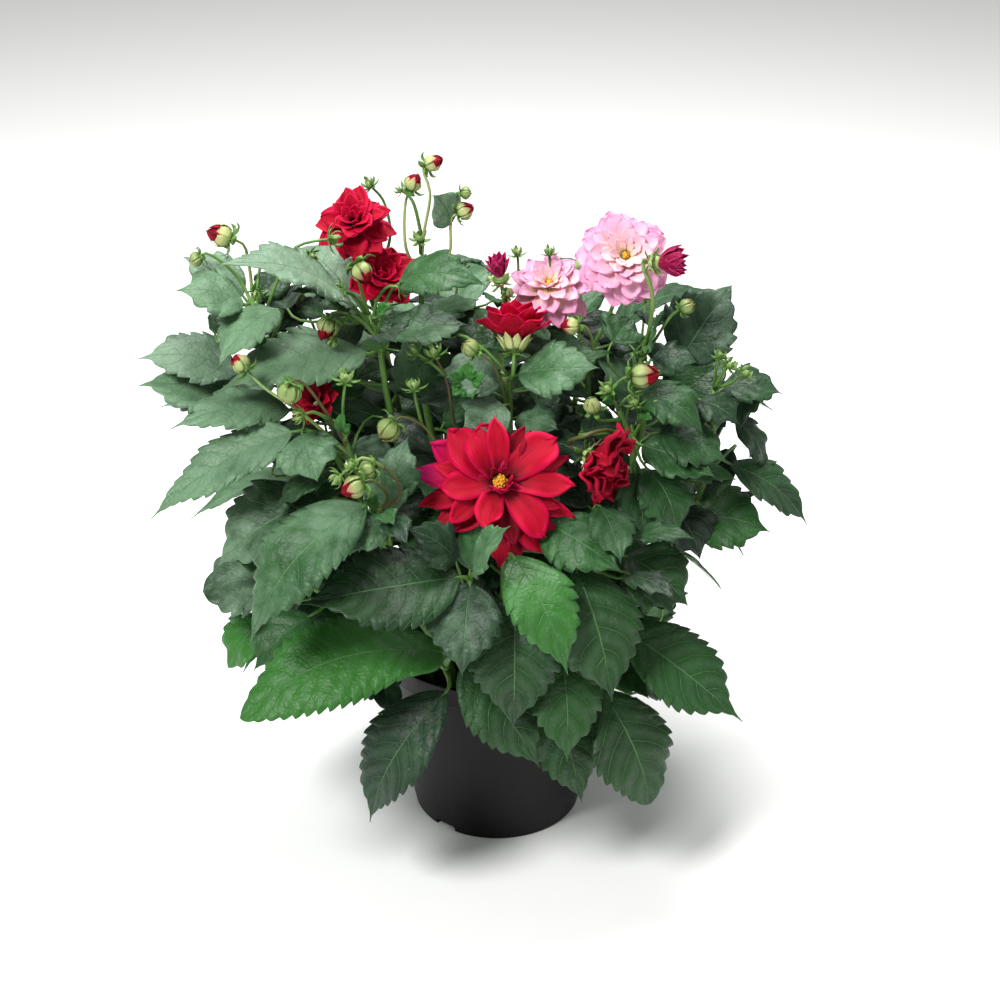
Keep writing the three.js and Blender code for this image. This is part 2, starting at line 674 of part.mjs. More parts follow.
        centre: [500, 480, -78], face: [0, -0.75, 0.66] },
    ],
  },
  centre: {
    hole: [2, 0],
    route: [[510, 520, -14], [510, 425, -22], [509, 376, -22]],
    leaves: [
      { node: 2, base: [518, 374, -26], tip: [600, 368, -36], width: 42 },
      { node: 1, base: [517, 417, -28], tip: [559, 430, -48], width: 30 },
      { node: 2, base: [500, 380, -26], tip: [436, 376, -34], width: 36 },
      { node: 1, base: [504, 405, -36], tip: [463, 428, -56], width: 36 },
      { node: 0, base: [520, 500, -24], tip: [585, 470, -36], width: 40 },
      { node: 0, base: [490, 520, -22], tip: [408, 482, -36], width: 50 },
    ],
    buds: [
      { node: 1, via: [[502, 388, -30], [491, 362, -40]], head: [470, 348, -44], kind: 'round', size: 5 },
      { node: 1, via: [[480, 398, -30]], head: [465, 379, -36], kind: 'star', size: 6.5 },
      { node: 0, via: [[458, 435, -34], [446, 378, -38]], head: [432, 351, -40], kind: 'star', size: 5 },
      { node: 0, via: [[440, 447, -54], [422, 425, -60], [400, 417, -66]],
        head: [388, 430, -70], kind: 'round', size: 6.8 },
    ],
    blooms: [
      { name: 'red_middle', kind: 'cupRed', node: 2, via: [],
        centre: [512, 340, -22], face: [0.1, -0.24, 0.965] },
      { name: 'magenta_left', kind: 'opening', node: 2, via: [[503, 372, 8], [499, 330, 16]],
        centre: [498, 268, 0], face: [-0.15, -0.2, 0.97] },
    ],
  },
  low_right: {
    hole: [18, -58],
    route: [[528, 640, -84], [522, 592, -90]],
    leaves: [
      { node: 1, base: [515, 594, -96], tip: [513, 730, -130], width: 58, rows: 4 },
      { node: 1, base: [513, 556, -98], tip: [568, 676, -142], width: 44, rows: 4 },
      { node: 0, base: [562, 648, -94], tip: [567, 762, -128], width: 46, rows: 4 },
      { node: 0, base: [550, 692, -92], tip: [582, 803, -112], width: 46, rows: 4 },
    ],
  },
  right_front: {
    hole: [46, -44],
    route: [[590, 600, -70], [600, 545, -72]],
    leaves: [
      { node: 1, base: [576, 570, -90], tip: [612, 702, -134], width: 62, rows: 4 },
      { node: 0, base: [628, 632, -84], tip: [743, 722, -106], width: 50, rows: 4, arch: 0.04 },
      { node: 1, base: [626, 556, -66], tip: [688, 606, -84], width: 56 },
      { node: 0, base: [600, 688, -92], tip: [650, 804, -114], width: 58, rows: 4, belly: 0.88 },
      { node: 1, base: [600, 506, -70], tip: [621, 564, -94], width: 30 },
    ],
  },
  right_mid: {
    hole: [40, -14],
    route: [[622, 530, -34], [632, 447, -32], [618, 408, -30]],
    leaves: [
      { node: 1, base: [660, 432, -34], tip: [728, 463, -46], width: 44 },
      { node: 1, base: [642, 445, -40], tip: [716, 478, -60], width: 40 },
      { node: 2, base: [642, 394, -26], tip: [703, 434, -34], width: 40 },
      { node: 1, base: [634, 472, -44], tip: [642, 538, -68], width: 36 },
      { node: 1, base: [648, 470, -38], tip: [676, 538, -60], width: 40 },
    ],
    buds: [
      { node: 2, via: [[612, 392, -36], [624, 378, -38]],
        head: [643, 376, -40], kind: 'tipped', size: 8.5, name: 'right' },
      { node: 2, via: [[598, 420, -44]], head: [592, 405, -50], kind: 'round', size: 5 },
      { node: 1, via: [[640, 424, -38], [648, 412, -40]], head: [657, 407, -42], kind: 'star', size: 5 },
    ],
    blooms: [
      { name: 'red_crumpled', kind: 'crumpledRed', node: 1, via: [[606, 430, -54], [584, 436, -62]],
        centre: [604, 456, -62], face: [0.84, -0.5, -0.2] },
    ],
  },
  right_side: {
    hole: [60, 0],
    route: [[688, 520, -14], [712, 440, -8], [714, 388, -2]],
    leaves: [
      { node: 0, base: [690, 518, -28], tip: [770, 532, -36], width: 50, rows: 4 },
      { node: 1, base: [730, 464, -8], tip: [807, 525, -16], width: 38 },
      { node: 1, base: [734, 418, 0], tip: [766, 471, 0], width: 28 },
      { node: 2, base: [724, 386, 2], tip: [782, 394, 2], width: 36 },
      { node: 2, base: [700, 400, -14], tip: [738, 424, -26], width: 36 },
      { node: 0, base: [668, 508, -34], tip: [700, 560, -52], width: 44 },
    ],
    buds: [
    ],
  },
  rear_right: {
    hole: [44, 22],
    route: [[642, 430, 10], [640, 352, 4]],
    leaves: [
      { node: 1, base: [680, 362, 8], tip: [732, 285, 22], width: 50, rows: 4 },
      { node: 1, base: [652, 360, -4], tip: [698, 363, -8], width: 32 },
      { node: 1, base: [642, 344, 4], tip: [656, 314, 12], width: 36 },
      { node: 1, base: [612, 342, -2], tip: [632, 318, 14], width: 32 },
      { node: 0, base: [668, 410, 20], tip: [730, 360, 40], width: 46 },
      { node: 0, base: [636, 430, 16], tip: [586, 352, 22], width: 52 },
    ],
    buds: [
      { node: 1, via: [[655, 340, -2], [673, 314, -2]], head: [687, 306, -4], kind: 'round', size: 4.6 },
    ],
    blooms: [
      { name: 'magenta_right', kind: 'opening', node: 1, via: [[648, 335, -14], [652, 292, -28]],
        centre: [666, 262, -26], face: [0.86, -0.3, 0.4] },
    ],
  },
  pink: {
    hole: [20, 20],
    route: [[585, 430, 14], [588, 352, 14]],
    leaves: [
      { node: 1, base: [580, 342, 8], tip: [552, 354, -4], width: 38 },
      { node: 1, base: [604, 352, 24], tip: [642, 338, 44], width: 30 },
      { node: 0, base: [560, 425, 24], tip: [520, 390, 44], width: 44 },
    ],
    buds: [
      { node: 1, via: [[592, 340, 0], [584, 326, -4]],
        head: [571, 326, -6], kind: 'tipped', size: 5.1, name: 'pink' },
    ],
    blooms: [
      { name: 'pink_right', kind: 'pinkWide', node: 1, via: [[612, 308, 14]],
        centre: [625, 256, -4], face: [0.05, -0.78, 0.62] },
      { name: 'pink_left', kind: 'pinkDouble', node: 1, via: [[558, 325, 14]],
        centre: [551, 281, 16], face: [-0.12, -0.62, 0.775] },
    ],
  },
};

// The rear of the plant, by rule: stems lean out from the soil and carry leaves in opposite pairs.
const rearStems = {
  rear_far_left: { hole: [-60, 22], heading: 158, heights: [168, 222, 270, 308], reach: 0.9, buds: 1 },
  rear_middle_left: { hole: [-8, 54], heading: 116, heights: [160, 214, 262, 300], reach: 1, buds: 2 },
  rear_middle_right: { hole: [34, 52], heading: 62, heights: [166, 220, 266, 298], reach: 1, buds: 1 },
  rear_far_right: { hole: [54, 34], heading: 36, heights: [214, 254, 292], reach: 0.76, buds: 1 },
};
const rearRule = {
  lean: 0.3, petiole: 24, petioleRise: 7, length: 118, lengthStep: -8, rise: -28, riseStep: 12,
  spreads: [58, 24, 64, 34], widthShare: 0.48,
  budReach: 52, budSpread: 18, budTurns: [40, -50], budSize: 4.8,
};

const compass = (angle) => new THREE.Vector3(Math.cos(radians(angle)), Math.sin(radians(angle)), 0);

// A place that lies out from a point along a compass direction, and up.
function outFrom(point, direction, out, up) {
  return point.clone().addScaledVector(direction, out).addScaledVector(skyward, up);
}

function rearLeafPair(joint, i, { heading, reach }) {
  return [1, -1].map((side) => {
    const direction = compass(heading + side * rearRule.spreads[i]);
    const base = outFrom(joint, direction, rearRule.petiole, rearRule.petioleRise);
    const length = reach * (rearRule.length + rearRule.lengthStep * i) * (side > 0 ? 1 : 0.92);
    const rise = radians(rearRule.rise + rearRule.riseStep * i);
    const tip = outFrom(base, direction, length * Math.cos(rise), length * Math.sin(rise));
    const width = length * rearRule.widthShare;
    return { node: i, base, tip, width, outward: facing.rearOutward, front: 0 };
  });
}

function rearStem({ hole: [x, y], heights, buds, ...rule }) {
  const foot = new THREE.Vector3(x, y, soil.crown);
  const lean = compass(rule.heading);
  const route = heights.map((height) => {
    const climb = height - soil.crown;
    return outFrom(foot, lean, rearRule.lean * climb, climb);
  });
  const top = route.at(-1);
  const flowerBuds = rearRule.budTurns.slice(0, buds).map((turn, i) => {
    const direction = compass(rule.heading + turn);
    const via = [outFrom(top, direction, 0.45 * rearRule.budSpread, 0.6 * rearRule.budReach)];
    const head = outFrom(top, direction, rearRule.budSpread, rearRule.budReach);
    return { node: route.length - 1, via, head, kind: i ? 'star' : 'round', size: rearRule.budSize };
  });
  const leaves = route.flatMap((joint, i) => rearLeafPair(joint, i, rule));
  return { hole: [x, y], route, leaves, buds: flowerBuds };
}

// Putting the plant together

const place = (spot) => (Array.isArray(spot) ? at(spot) : spot.clone());

// Levels that a stem stands upright at, in its hole and just above the soil.
const footing = [soil.edgeLevel - seat.stemDepth, soil.edgeLevel, soil.crown + seat.upright];

function stemPoints({ hole: [x, y], route }) {
  return [
    ...footing.map((level) => new THREE.Vector3(x, y, level)),
    ...route.map(place),
  ];
}

// Where a piece leaves its stem: each next piece at a numbered point sits a little further along or back.
function rootOf({ points, rooted }, { node, root }) {
  if (root) return place(root);
  const count = rooted[node] ?? 0;
  rooted[node] = count + 1;
  const index = node + footing.length;
  const last = index === points.length - 1;
  const steps = last ? -0.6 - count : Math.ceil(count / 2) * (count % 2 ? 1 : -1);
  const heading = points[last ? index : index + 1].clone().sub(points[index - 1]).normalize();
  return points[index].clone().addScaledVector(heading, steps * stalk.rootStep);
}

function flowerStalk(points) {
  return solid(tube(points, stalk.flowerGirth, stalk.flowerSides, stalk.flowerStep));
}

const colouredTips = [];

function growBud(stem, spec) {
  const start = rootOf(stem, spec);
  const via = spec.via.map(place);
  const head = place(spec.head);
  const direction = head.clone().sub(via.at(-1) ?? start).normalize();
  const origin = head.clone().addScaledVector(direction, -0.9 * spec.size);
  const matrix = placedAlong(direction, origin);
  if (spec.kind === 'tipped') {
    colouredTips.push({ name: `bud_tip_${spec.name}`, matrix, shape: budTipSolid(spec.size) });
  }
  const end = origin.clone().addScaledVector(direction, 0.4 * spec.size);
  return [flowerStalk([start, ...via, end]), moved(budSolid(spec.kind, spec.size), matrix)];
}

const petalHeads = [];

function growBloom(stem, spec) {
  const form = blooms[spec.kind];
  const face = new THREE.Vector3(...spec.face).normalize();
  const top = form.layers.at(-1).level + 0.7 * (form.disc ?? 0);
  const origin = place(spec.centre).addScaledVector(face, -top);
  const matrix = placedAlong(face, origin);
  const { name } = spec;
  petalHeads.push({ name: `${name}_petals`, matrix, shape: solid(petalLayers(form)), shade: form.shade });
  if (form.disc) petalHeads.push({ name: `${name}_disc`, matrix, shape: discSolid(form), shade: 'disc' });
  const end = origin.clone().addScaledVector(face, -0.9 * form.calyx);
  const neck = end.clone().addScaledVector(face, -14);
  const pedicel = flowerStalk([rootOf(stem, spec), ...spec.via.map(place), neck, end]);
  return [pedicel, moved(calyxSolid(form.calyx), matrix)];
}

const allStems = Object.entries({
  ...stems,
  ...Object.fromEntries(Object.entries(rearStems).map(([name, rule]) => [name, rearStem(rule)])),
}).map(([name, spec]) => ({ name: `stem_${name}`, spec, points: stemPoints(spec), rooted: [] }));

const pieces = new Map();
for (const stem of allStems) {
  const trunk = solid(tube(stem.points, stalk.girth, stalk.stemSides, stalk.stemStep));
  const heads = (stem.spec.blooms ?? []).flatMap((one) => growBloom(stem, one));
  const buds = (stem.spec.buds ?? []).flatMap((one) => growBud(stem, one));
  pieces.set(stem.name, [trunk, ...heads, ...buds]);
}

// What a leaf has to keep clear of: [owner, solid, box].
const placed = [];
function keepClear(owner, whole, trunk = false) {
  placed.push({ owner, whole, trunk, box: whole.boundingBox() });
}

const apart = (a, b) => [0, 1, 2].some((k) => a.max[k] < b.min[k] || b.max[k] < a.min[k]);

for (const [name, solids] of pieces) solids.forEach((whole, i) => keepClear(name, whole, i === 0));
for (const { name, matrix, shape } of [...colouredTips, ...petalHeads]) {
  keepClear(name, moved(shape, matrix));
}

const potBody = potSolid();
const soilBody = soilSolid(allStems.map(({ spec: { hole: [x, y] } }) => ({ x, y, radius: stalk.girth })));
keepClear('pot', potBody);
keepClear('soil', soilBody);

function crosses(owner, whole) {
  const box = whole.boundingBox();
  return placed.some((other) => {
    if (apart(box, other.box)) return false;
    const shared = whole.intersect(other.whole);
    if (other.owner !== owner) return !shared.isEmpty();
    return shared.volume() > (other.trunk ? clearance.rootOverlap : clearance.ownOverlap);
  });
}

// A leaf's tip moves to and fro along the line of sight, or up and down at the rear, until it is clear.
function bent(root, spec, shift, extraArch) {
  const arch = (spec.arch ?? blade.arch) + extraArch;
  if (!Array.isArray(spec.tip)) {
    return leafForm({ ...spec, root, arch, tip: spec.tip.clone().addScaledVector(skyward, shift) });
  }
  const nearer = ([across, down, depth], move) => at([across, down, depth + move]);
  const base = nearer(spec.base, 0.3 * shift);
  return leafForm({ ...spec, root, arch, base, tip: nearer(spec.tip, shift) });
}

const bends = [];
for (let i = 0; i <= 2 * clearance.steps; i += 1) {
  const shift = clearance.step * Math.ceil(i / 2) * (i % 2 ? -1 : 1);
  for (const turn of [0, 1, -1]) bends.push([shift, turn * clearance.archStep]);
}

for (const stem of allStems) {
  for (const leaf of stem.spec.leaves) {
    const root = rootOf(stem, leaf);
    const proxy = (form) => solid(leafSheet(form, clearance.thick, clearance.wide / 2));
    const clear = bends.find(([shift, arch]) => !crosses(stem.name, proxy(bent(root, leaf, shift, arch))));
    if (clear) {
      const whole = solid(leafSheet(bent(root, leaf, ...clear)));
      pieces.get(stem.name).push(whole);
      keepClear(stem.name, whole);
    }
  }
}

const plant = new THREE.Group();

function addMesh(name, geometry, shade, matrix = new THREE.Matrix4()) {
  const mesh = new THREE.Mesh(geometry, material(shade));
  mesh.name = name;
  matrix.decompose(mesh.position, mesh.quaternion, mesh.scale);
  plant.add(mesh);
}

addMesh('pot', surface(potBody), 'pot');
addMesh('soil', surface(soilBody), 'soil');
for (const [name, solids] of pieces) addMesh(name, surface(joined(solids)), 'leaf');
for (const { name, matrix, shape, shade } of petalHeads) addMesh(name, surface(shape), shade, matrix);
for (const { name, matrix, shape } of colouredTips) addMesh(name, surface(shape), 'darkRed', matrix);

export default plant;
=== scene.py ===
import json
import math
import random

import bmesh
import bpy
from mathutils import Euler, Matrix, Vector, kdtree, noise
from mathutils.bvhtree import BVHTree
from mathutils.geometry import interpolate_bezier

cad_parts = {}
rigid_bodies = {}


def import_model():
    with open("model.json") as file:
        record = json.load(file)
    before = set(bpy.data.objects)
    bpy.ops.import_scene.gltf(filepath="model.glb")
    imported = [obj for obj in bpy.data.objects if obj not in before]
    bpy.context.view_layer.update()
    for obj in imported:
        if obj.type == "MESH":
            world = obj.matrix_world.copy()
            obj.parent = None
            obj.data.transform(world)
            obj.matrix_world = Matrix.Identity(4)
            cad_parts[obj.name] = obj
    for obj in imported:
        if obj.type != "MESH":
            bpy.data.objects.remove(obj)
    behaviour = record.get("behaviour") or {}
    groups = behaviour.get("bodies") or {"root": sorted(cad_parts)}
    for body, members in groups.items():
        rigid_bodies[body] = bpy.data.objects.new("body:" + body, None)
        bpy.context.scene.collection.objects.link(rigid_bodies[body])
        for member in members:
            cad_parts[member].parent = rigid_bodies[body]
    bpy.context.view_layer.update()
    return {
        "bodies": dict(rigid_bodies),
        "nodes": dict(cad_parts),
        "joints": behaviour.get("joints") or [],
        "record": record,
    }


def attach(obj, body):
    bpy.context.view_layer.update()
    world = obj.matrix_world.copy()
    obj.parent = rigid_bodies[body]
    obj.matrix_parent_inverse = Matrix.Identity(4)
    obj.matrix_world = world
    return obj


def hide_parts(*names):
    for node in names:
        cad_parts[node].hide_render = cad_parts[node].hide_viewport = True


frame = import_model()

millimetre = 0.001
upward = Vector((0, 0, 1))
goldenAngle = 2.39996  # from one floret of a disc to the next, in radians
scene = bpy.context.scene

# The camera, and how a place in its picture is read: pixel across, pixel down, depth behind the pot's axis
viewpoint = dict(middle=500, focal=1985, distance=1300, tilt=28, aim=(2, 0, 232), sensor=36)
tilt = math.radians(viewpoint["tilt"])
eye = Vector(viewpoint["aim"]) + viewpoint["distance"] * Vector((0, -math.cos(tilt), math.sin(tilt)))


def at(spot):
    across, down, depth = spot
    right = (across - viewpoint["middle"]) / viewpoint["focal"]
    rise = (viewpoint["middle"] - down) / viewpoint["focal"]
    ray = Vector((right, math.cos(tilt) + rise * math.sin(tilt), rise * math.cos(tilt) - math.sin(tilt)))
    return eye + ray * ((depth - eye.y) / ray.y)


def seenAt(point):
    # the other way round: pixel across, pixel down and depth of a place
    ray = point - eye
    ahead = ray.y * math.cos(tilt) - ray.z * math.sin(tilt)
    rise = ray.y * math.sin(tilt) + ray.z * math.cos(tilt)
    scale = viewpoint["focal"] / ahead
    return viewpoint["middle"] + ray.x * scale, viewpoint["middle"] - rise * scale, point.y


def place(spot):
    return spot.copy() if isinstance(spot, Vector) else at(spot)


# Curves

def onBow(bow, share):
    foot, knee, end = bow
    return foot * (1 - share) ** 2 + knee * (2 * share * (1 - share)) + end * share ** 2


def bowHeading(bow, share):
    foot, knee, end = bow
    return ((knee - foot) * (1 - share) + (end - knee) * share).normalized()


def alongBow(bow, steps):
    return [onBow(bow, i / steps) for i in range(steps + 1)]


def smoothPath(points, step):
    # a smooth line through all the points, with a knot at each
    ends = [2 * points[0] - points[1], *points, 2 * points[-1] - points[-2]]
    path = [points[0]]
    for before, here, there, after in zip(ends, ends[1:], ends[2:], ends[3:]):
        a, b, c = (max((q - p).length, 0.01) ** 0.5
                   for p, q in ((before, here), (here, there), (there, after)))
        leave = b * ((here - before) / a - (there - before) / (a + b) + (there - here) / b)
        arrive = b * ((there - here) / b - (after - here) / (b + c) + (after - there) / c)
        count = max(3, round((there - here).length / step) + 1)
        path += interpolate_bezier(here, here + leave / 3, there - arrive / 3, there, count)[1:]
    return path


def smoothStep(low, high, value):
    share = min(1, max(0, (value - low) / (high - low)))
    return share * share * (3 - 2 * share)


# Meshes

def startMesh():
    mesh = bmesh.new()
    mesh.loops.layers.uv.new("UVMap")
    mesh.verts.layers.float.new("tone")
    mesh.verts.layers.float.new("fresh")
    return mesh


def addGrid(mesh, alongSteps, acrossSteps, tone, fresh=0.0):
    # a flat sheet whose vertices still say where they belong: x is the share along, y the share across
    made = bmesh.ops.create_grid(mesh, x_segments=alongSteps, y_segments=acrossSteps, size=0.5)["verts"]
    coordinates = mesh.loops.layers.uv.active
    toneLayer, freshLayer = mesh.verts.layers.float["tone"], mesh.verts.layers.float["fresh"]
    for vert in made:
        vert[toneLayer], vert[freshLayer] = tone, fresh
        for loop in vert.link_loops:
            loop[coordinates].uv = (vert.co.x + 0.5, vert.co.y + 0.5)
    return made


def addTube(mesh, path, girths, sides, tone=0.5, flat=1.0, across=None, blush=0.0):
    # a round rod along a path. flat squeezes it at right angles to across, blush reddens its end.
    last = len(path) - 1
    frames, side = [], across
    for i in range(last + 1):
        heading = (path[min(i + 1, last)] - path[max(i - 1, 0)]).normalized()
        if side is None:
            side = heading.orthogonal()
        side = (side - heading * side.dot(heading)).normalized()
        frames.append((side, heading.cross(side)))
    path, girths, frames = ([line[0], *line, line[-1]] for line in (path, girths, frames))
    girths[0] = girths[-1] = 0
    rings = last + 2
    made = addGrid(mesh, sides, rings, tone)
    freshLayer = mesh.verts.layers.float["fresh"]
    for vert in made:
        ring = round((vert.co.y + 0.5) * rings)
        vert[freshLayer] = blush * smoothStep(0.4, 1, ring / rings)
        turn = -2 * math.pi * (vert.co.x + 0.5)
        side, over = frames[ring]
        girth = girths[ring]
        vert.co = path[ring] + side * (girth * math.cos(turn)) + over * (girth * flat * math.sin(turn))
    bmesh.ops.remove_doubles(mesh, verts=made, dist=0.001)


def tapered(first, last, count):
    return [first + (last - first) * i / (count - 1) for i in range(count)]


def finishPiece(mesh, name, materials, nodes, thickness=None, smooth=True):
    bmesh.ops.scale(mesh, vec=(millimetre,) * 3, verts=mesh.verts)
    data = bpy.data.meshes.new(name)
    mesh.to_mesh(data)
    mesh.free()
    data.shade_smooth() if smooth else data.shade_flat()
    piece = bpy.data.objects.new(name, data)
    scene.collection.objects.link(piece)
    for material in materials:
        data.materials.append(material)
    if thickness:
        solidify = piece.modifiers.new("thickness", "SOLIDIFY")
        solidify.thickness = thickness * millimetre
        solidify.offset = 0
        solidify.material_offset = len(materials) - 1
    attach(piece, "root")
    if nodes:
        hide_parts(*nodes)
    return piece


# Materials

def rgb(red, green, blue):
    return tuple(((level / 255 + 0.055) / 1.055) ** 2.4 if level > 10 else level / 255 / 12.92
                 for level in (red, green, blue)) + (1,)


def feed(tree, socket, value):
    if isinstance(value, bpy.types.NodeSocket):
        tree.links.new(value, socket)
    else:
        socket.default_value = value


def sums(tree, operation, first, second=0.0, third=0.0, clamp=False):
    node = tree.nodes.new("ShaderNodeMath")
    node.operation = operation
    node.use_clamp = clamp
    for socket, value in zip(node.inputs, (first, second, third)):
        feed(tree, socket, value)
    return node.outputs[0]


def mixed(tree, share, first, second, blend="MIX"):
    node = tree.nodes.new("ShaderNodeMix")
    node.data_type = "RGBA"
    node.blend_type = blend
    feed(tree, node.inputs[0], share)
    feed(tree, node.inputs[6], first)
    feed(tree, node.inputs[7], second)
    return node.outputs[2]


def ranged(tree, value, low, high, toLow=0.0, toHigh=1.0, kind="SMOOTHSTEP"):
    node = tree.nodes.new("ShaderNodeMapRange")
    node.interpolation_type = kind
    for socket, number in zip(node.inputs, (value, low, high, toLow, toHigh)):
        feed(tree, socket, number)
    return node.outputs[0]


def speckle(tree, vector, scale, detail=3.0, roughness=0.55, distortion=0.0):
    node = tree.nodes.new("ShaderNodeTexNoise")
    feed(tree, node.inputs["Vector"], vector)
    node.inputs["Scale"].default_value = scale
    node.inputs["Detail"].default_value = detail
    node.inputs["Roughness"].default_value = roughness
    node.inputs["Distortion"].default_value = distortion
    return node.outputs["Fac"]


def cells(tree, vector, scale, feature="DISTANCE_TO_EDGE"):
    node = tree.nodes.new("ShaderNodeTexVoronoi")
    node.feature = feature
    feed(tree, node.inputs["Vector"], vector)
    node.inputs["Scale"].default_value = scale
    return node.outputs["Distance"]


def attribute(tree, name):
    node = tree.nodes.new("ShaderNodeAttribute")
    node.attribute_name = name
    return node.outputs["Fac"]


def relief(tree, height, strength, distance, under=None):
    node = tree.nodes.new("ShaderNodeBump")
    node.inputs["Strength"].default_value = strength
    node.inputs["Distance"].default_value = distance
    feed(tree, node.inputs["Height"], height)
    if under:
        feed(tree, node.inputs["Normal"], under)
    return node.outputs[0]


def newMaterial(name, roughness=0.5, **settings):
    material = bpy.data.materials.new(name)
    material.use_nodes = True
    tree = material.node_tree
    shader = tree.nodes["Principled BSDF"]
    shader.inputs["Roughness"].default_value = roughness
    for key, value in settings.items():
        shader.inputs[key].default_value = value
    coordinates = tree.nodes.new("ShaderNodeTexCoord")
    return material, tree, shader, coordinates


# the darkest and the pale green, picked by a leaf's tone, are painted shade and painted light on the upper side
leafLook = dict(
    shadedGreen=(4, 20, 8), mid=(18, 50, 25), pale=(122, 148, 124), fresh=(40, 104, 24), veins=(100, 142, 92),
    under=(74, 120, 66), underDark=(54, 100, 48), underVeins=(126, 164, 104), sheenTint=(214, 236, 220),
    gloss=0.44, sheen=0.07, specular=0.3, patchSize=27, puckerSize=105, netSize=300, veinletShadeShare=0.15,
    veinLean=1.67, veinCurve=0.5, stagger=0.35, veinWidths=(0.032, 0.04), underVeinWidths=(0.08, 0.09),
)


def leafVeins(tree, coordinates, widths):
    # x of the UV map counts the side veins, y runs across the blade
    split = tree.nodes.new("ShaderNodeSeparateXYZ")
    tree.links.new(coordinates.outputs["UV"], split.inputs[0])
    off = sums(tree, "ABSOLUTE", sums(tree, "MULTIPLY_ADD", split.outputs[1], 2.0, -1.0))
    wobble = sums(tree, "MULTIPLY_ADD", speckle(tree, coordinates.outputs["Object"], 60), 0.22, -0.11)
    lean = sums(tree, "MULTIPLY_ADD", sums(tree, "MULTIPLY", off, off), leafLook["veinCurve"],
                sums(tree, "MULTIPLY", off, 1 - leafLook["veinCurve"]))
    phase = sums(tree, "ADD", sums(tree, "MULTIPLY_ADD", lean, -leafLook["veinLean"], split.outputs[0]), wobble)
    leftSide = sums(tree, "GREATER_THAN", split.outputs[1], 0.5)
    phase = sums(tree, "MULTIPLY_ADD", leftSide, leafLook["stagger"], phase)
    nearest = sums(tree, "ABSOLUTE", sums(tree, "SUBTRACT", sums(tree, "FRACT", phase), 0.5))
    side = ranged(tree, nearest, 0.5 - widths[1], 0.5)
    middle = ranged(tree, off, widths[0], 0.0)
    return side, middle, nearest


def leafTopMaterial():
    look = leafLook
    bloomy = {"Sheen Weight": look["sheen"], "Sheen Roughness": 0.5, "Sheen Tint": rgb(*look["sheenTint"]),
              "Specular IOR Level": look["specular"]}
    material, tree, shader, coordinates = newMaterial("leaf green", look["gloss"], **bloomy)
    spot = coordinates.outputs["Object"]
    tone, young = attribute(tree, "tone"), attribute(tree, "fresh")
    side, middle, nearest = leafVeins(tree, coordinates, look["veinWidths"])
    patches = speckle(tree, spot, look["patchSize"], 6, 0.62)
    # tone picks the colour: low tone the dark green of painted shade, high tone the pale green of painted light;
    # patches vary it at random
    share = sums(tree, "MULTIPLY_ADD", patches, 1.6, sums(tree, "MULTIPLY_ADD", tone, 1.0, -0.79), clamp=True)
    green = mixed(tree, ranged(tree, share, 0.0, 0.5), rgb(*look["shadedGreen"]), rgb(*look["mid"]))
    green = mixed(tree, ranged(tree, share, 0.5, 1.15), green, rgb(*look["pale"]))
    fresh = sums(tree, "MULTIPLY_ADD", patches, 0.4, sums(tree, "MULTIPLY_ADD", young, 1.2, -0.25), clamp=True)
    green = mixed(tree, fresh, green, rgb(*look["fresh"]))
    bulgeHighlight = ranged(tree, nearest, 0.5, 0.0)  # painted highlight, paler on the bulges between the side veins
    green = mixed(tree, sums(tree, "MULTIPLY", bulgeHighlight, 0.09), green, rgb(*look["pale"]))
    lines = sums(tree, "MAXIMUM", sums(tree, "MULTIPLY", side, 0.3), sums(tree, "MULTIPLY", middle, 0.6))
    green = mixed(tree, lines, green, rgb(*look["veins"]))
    net = ranged(tree, cells(tree, spot, look["netSize"]), 0.0, 0.4)  # the finest veins, sunk and darker: painted shade in the grooves
    veinletShade = sums(tree, "MULTIPLY_ADD", net, -look["veinletShadeShare"], look["veinletShadeShare"])
    green = mixed(tree, veinletShade, green, rgb(*look["shadedGreen"]))
    feed(tree, shader.inputs["Base Color"], green)
    grain = speckle(tree, spot, 900, 2)
    feed(tree, shader.inputs["Roughness"], sums(tree, "MULTIPLY_ADD", patches, 0.2, look["gloss"] - 0.06))
    height = sums(tree, "MULTIPLY_ADD", side, -0.45, sums(tree, "MULTIPLY", net, 0.2))
    height = sums(tree, "MULTIPLY_ADD", middle, -0.7, height)
    bumps = relief(tree, speckle(tree, spot, look["puckerSize"], 3), 0.5, 0.003)
    bumps = relief(tree, height, 0.75, 0.0009, bumps)
    feed(tree, shader.inputs["Normal"], relief(tree, grain, 0.08, 0.0002, bumps))
    return material


def leafUnderMaterial():
    material, tree, shader, coordinates = newMaterial("leaf underside", 0.7)
    side, middle = leafVeins(tree, coordinates, leafLook["underVeinWidths"])[:2]
    spot = coordinates.outputs["Object"]
    patches = speckle(tree, spot, 40, 3)
    green = mixed(tree, patches, rgb(*leafLook["underDark"]), rgb(*leafLook["under"]))
    lines = sums(tree, "MAXIMUM", sums(tree, "MULTIPLY", side, 0.5), sums(tree, "MULTIPLY", middle, 0.8))
    feed(tree, shader.inputs["Base Color"], mixed(tree, lines, green, rgb(*leafLook["underVeins"])))
    height = sums(tree, "ADD", side, sums(tree, "MULTIPLY", middle, 1.4))
    feed(tree, shader.inputs["Normal"], relief(tree, height, 0.5, 0.0009))
    return material


# each colour of a stalk runs between two, and its tone picks dark, green or pale
stalkLook = dict(
    green=((48, 88, 30), (104, 148, 62)), dark=((74, 42, 30), (88, 88, 40)), pale=((128, 158, 80), (206, 204, 146)),
    blush=(172, 52, 76),
)


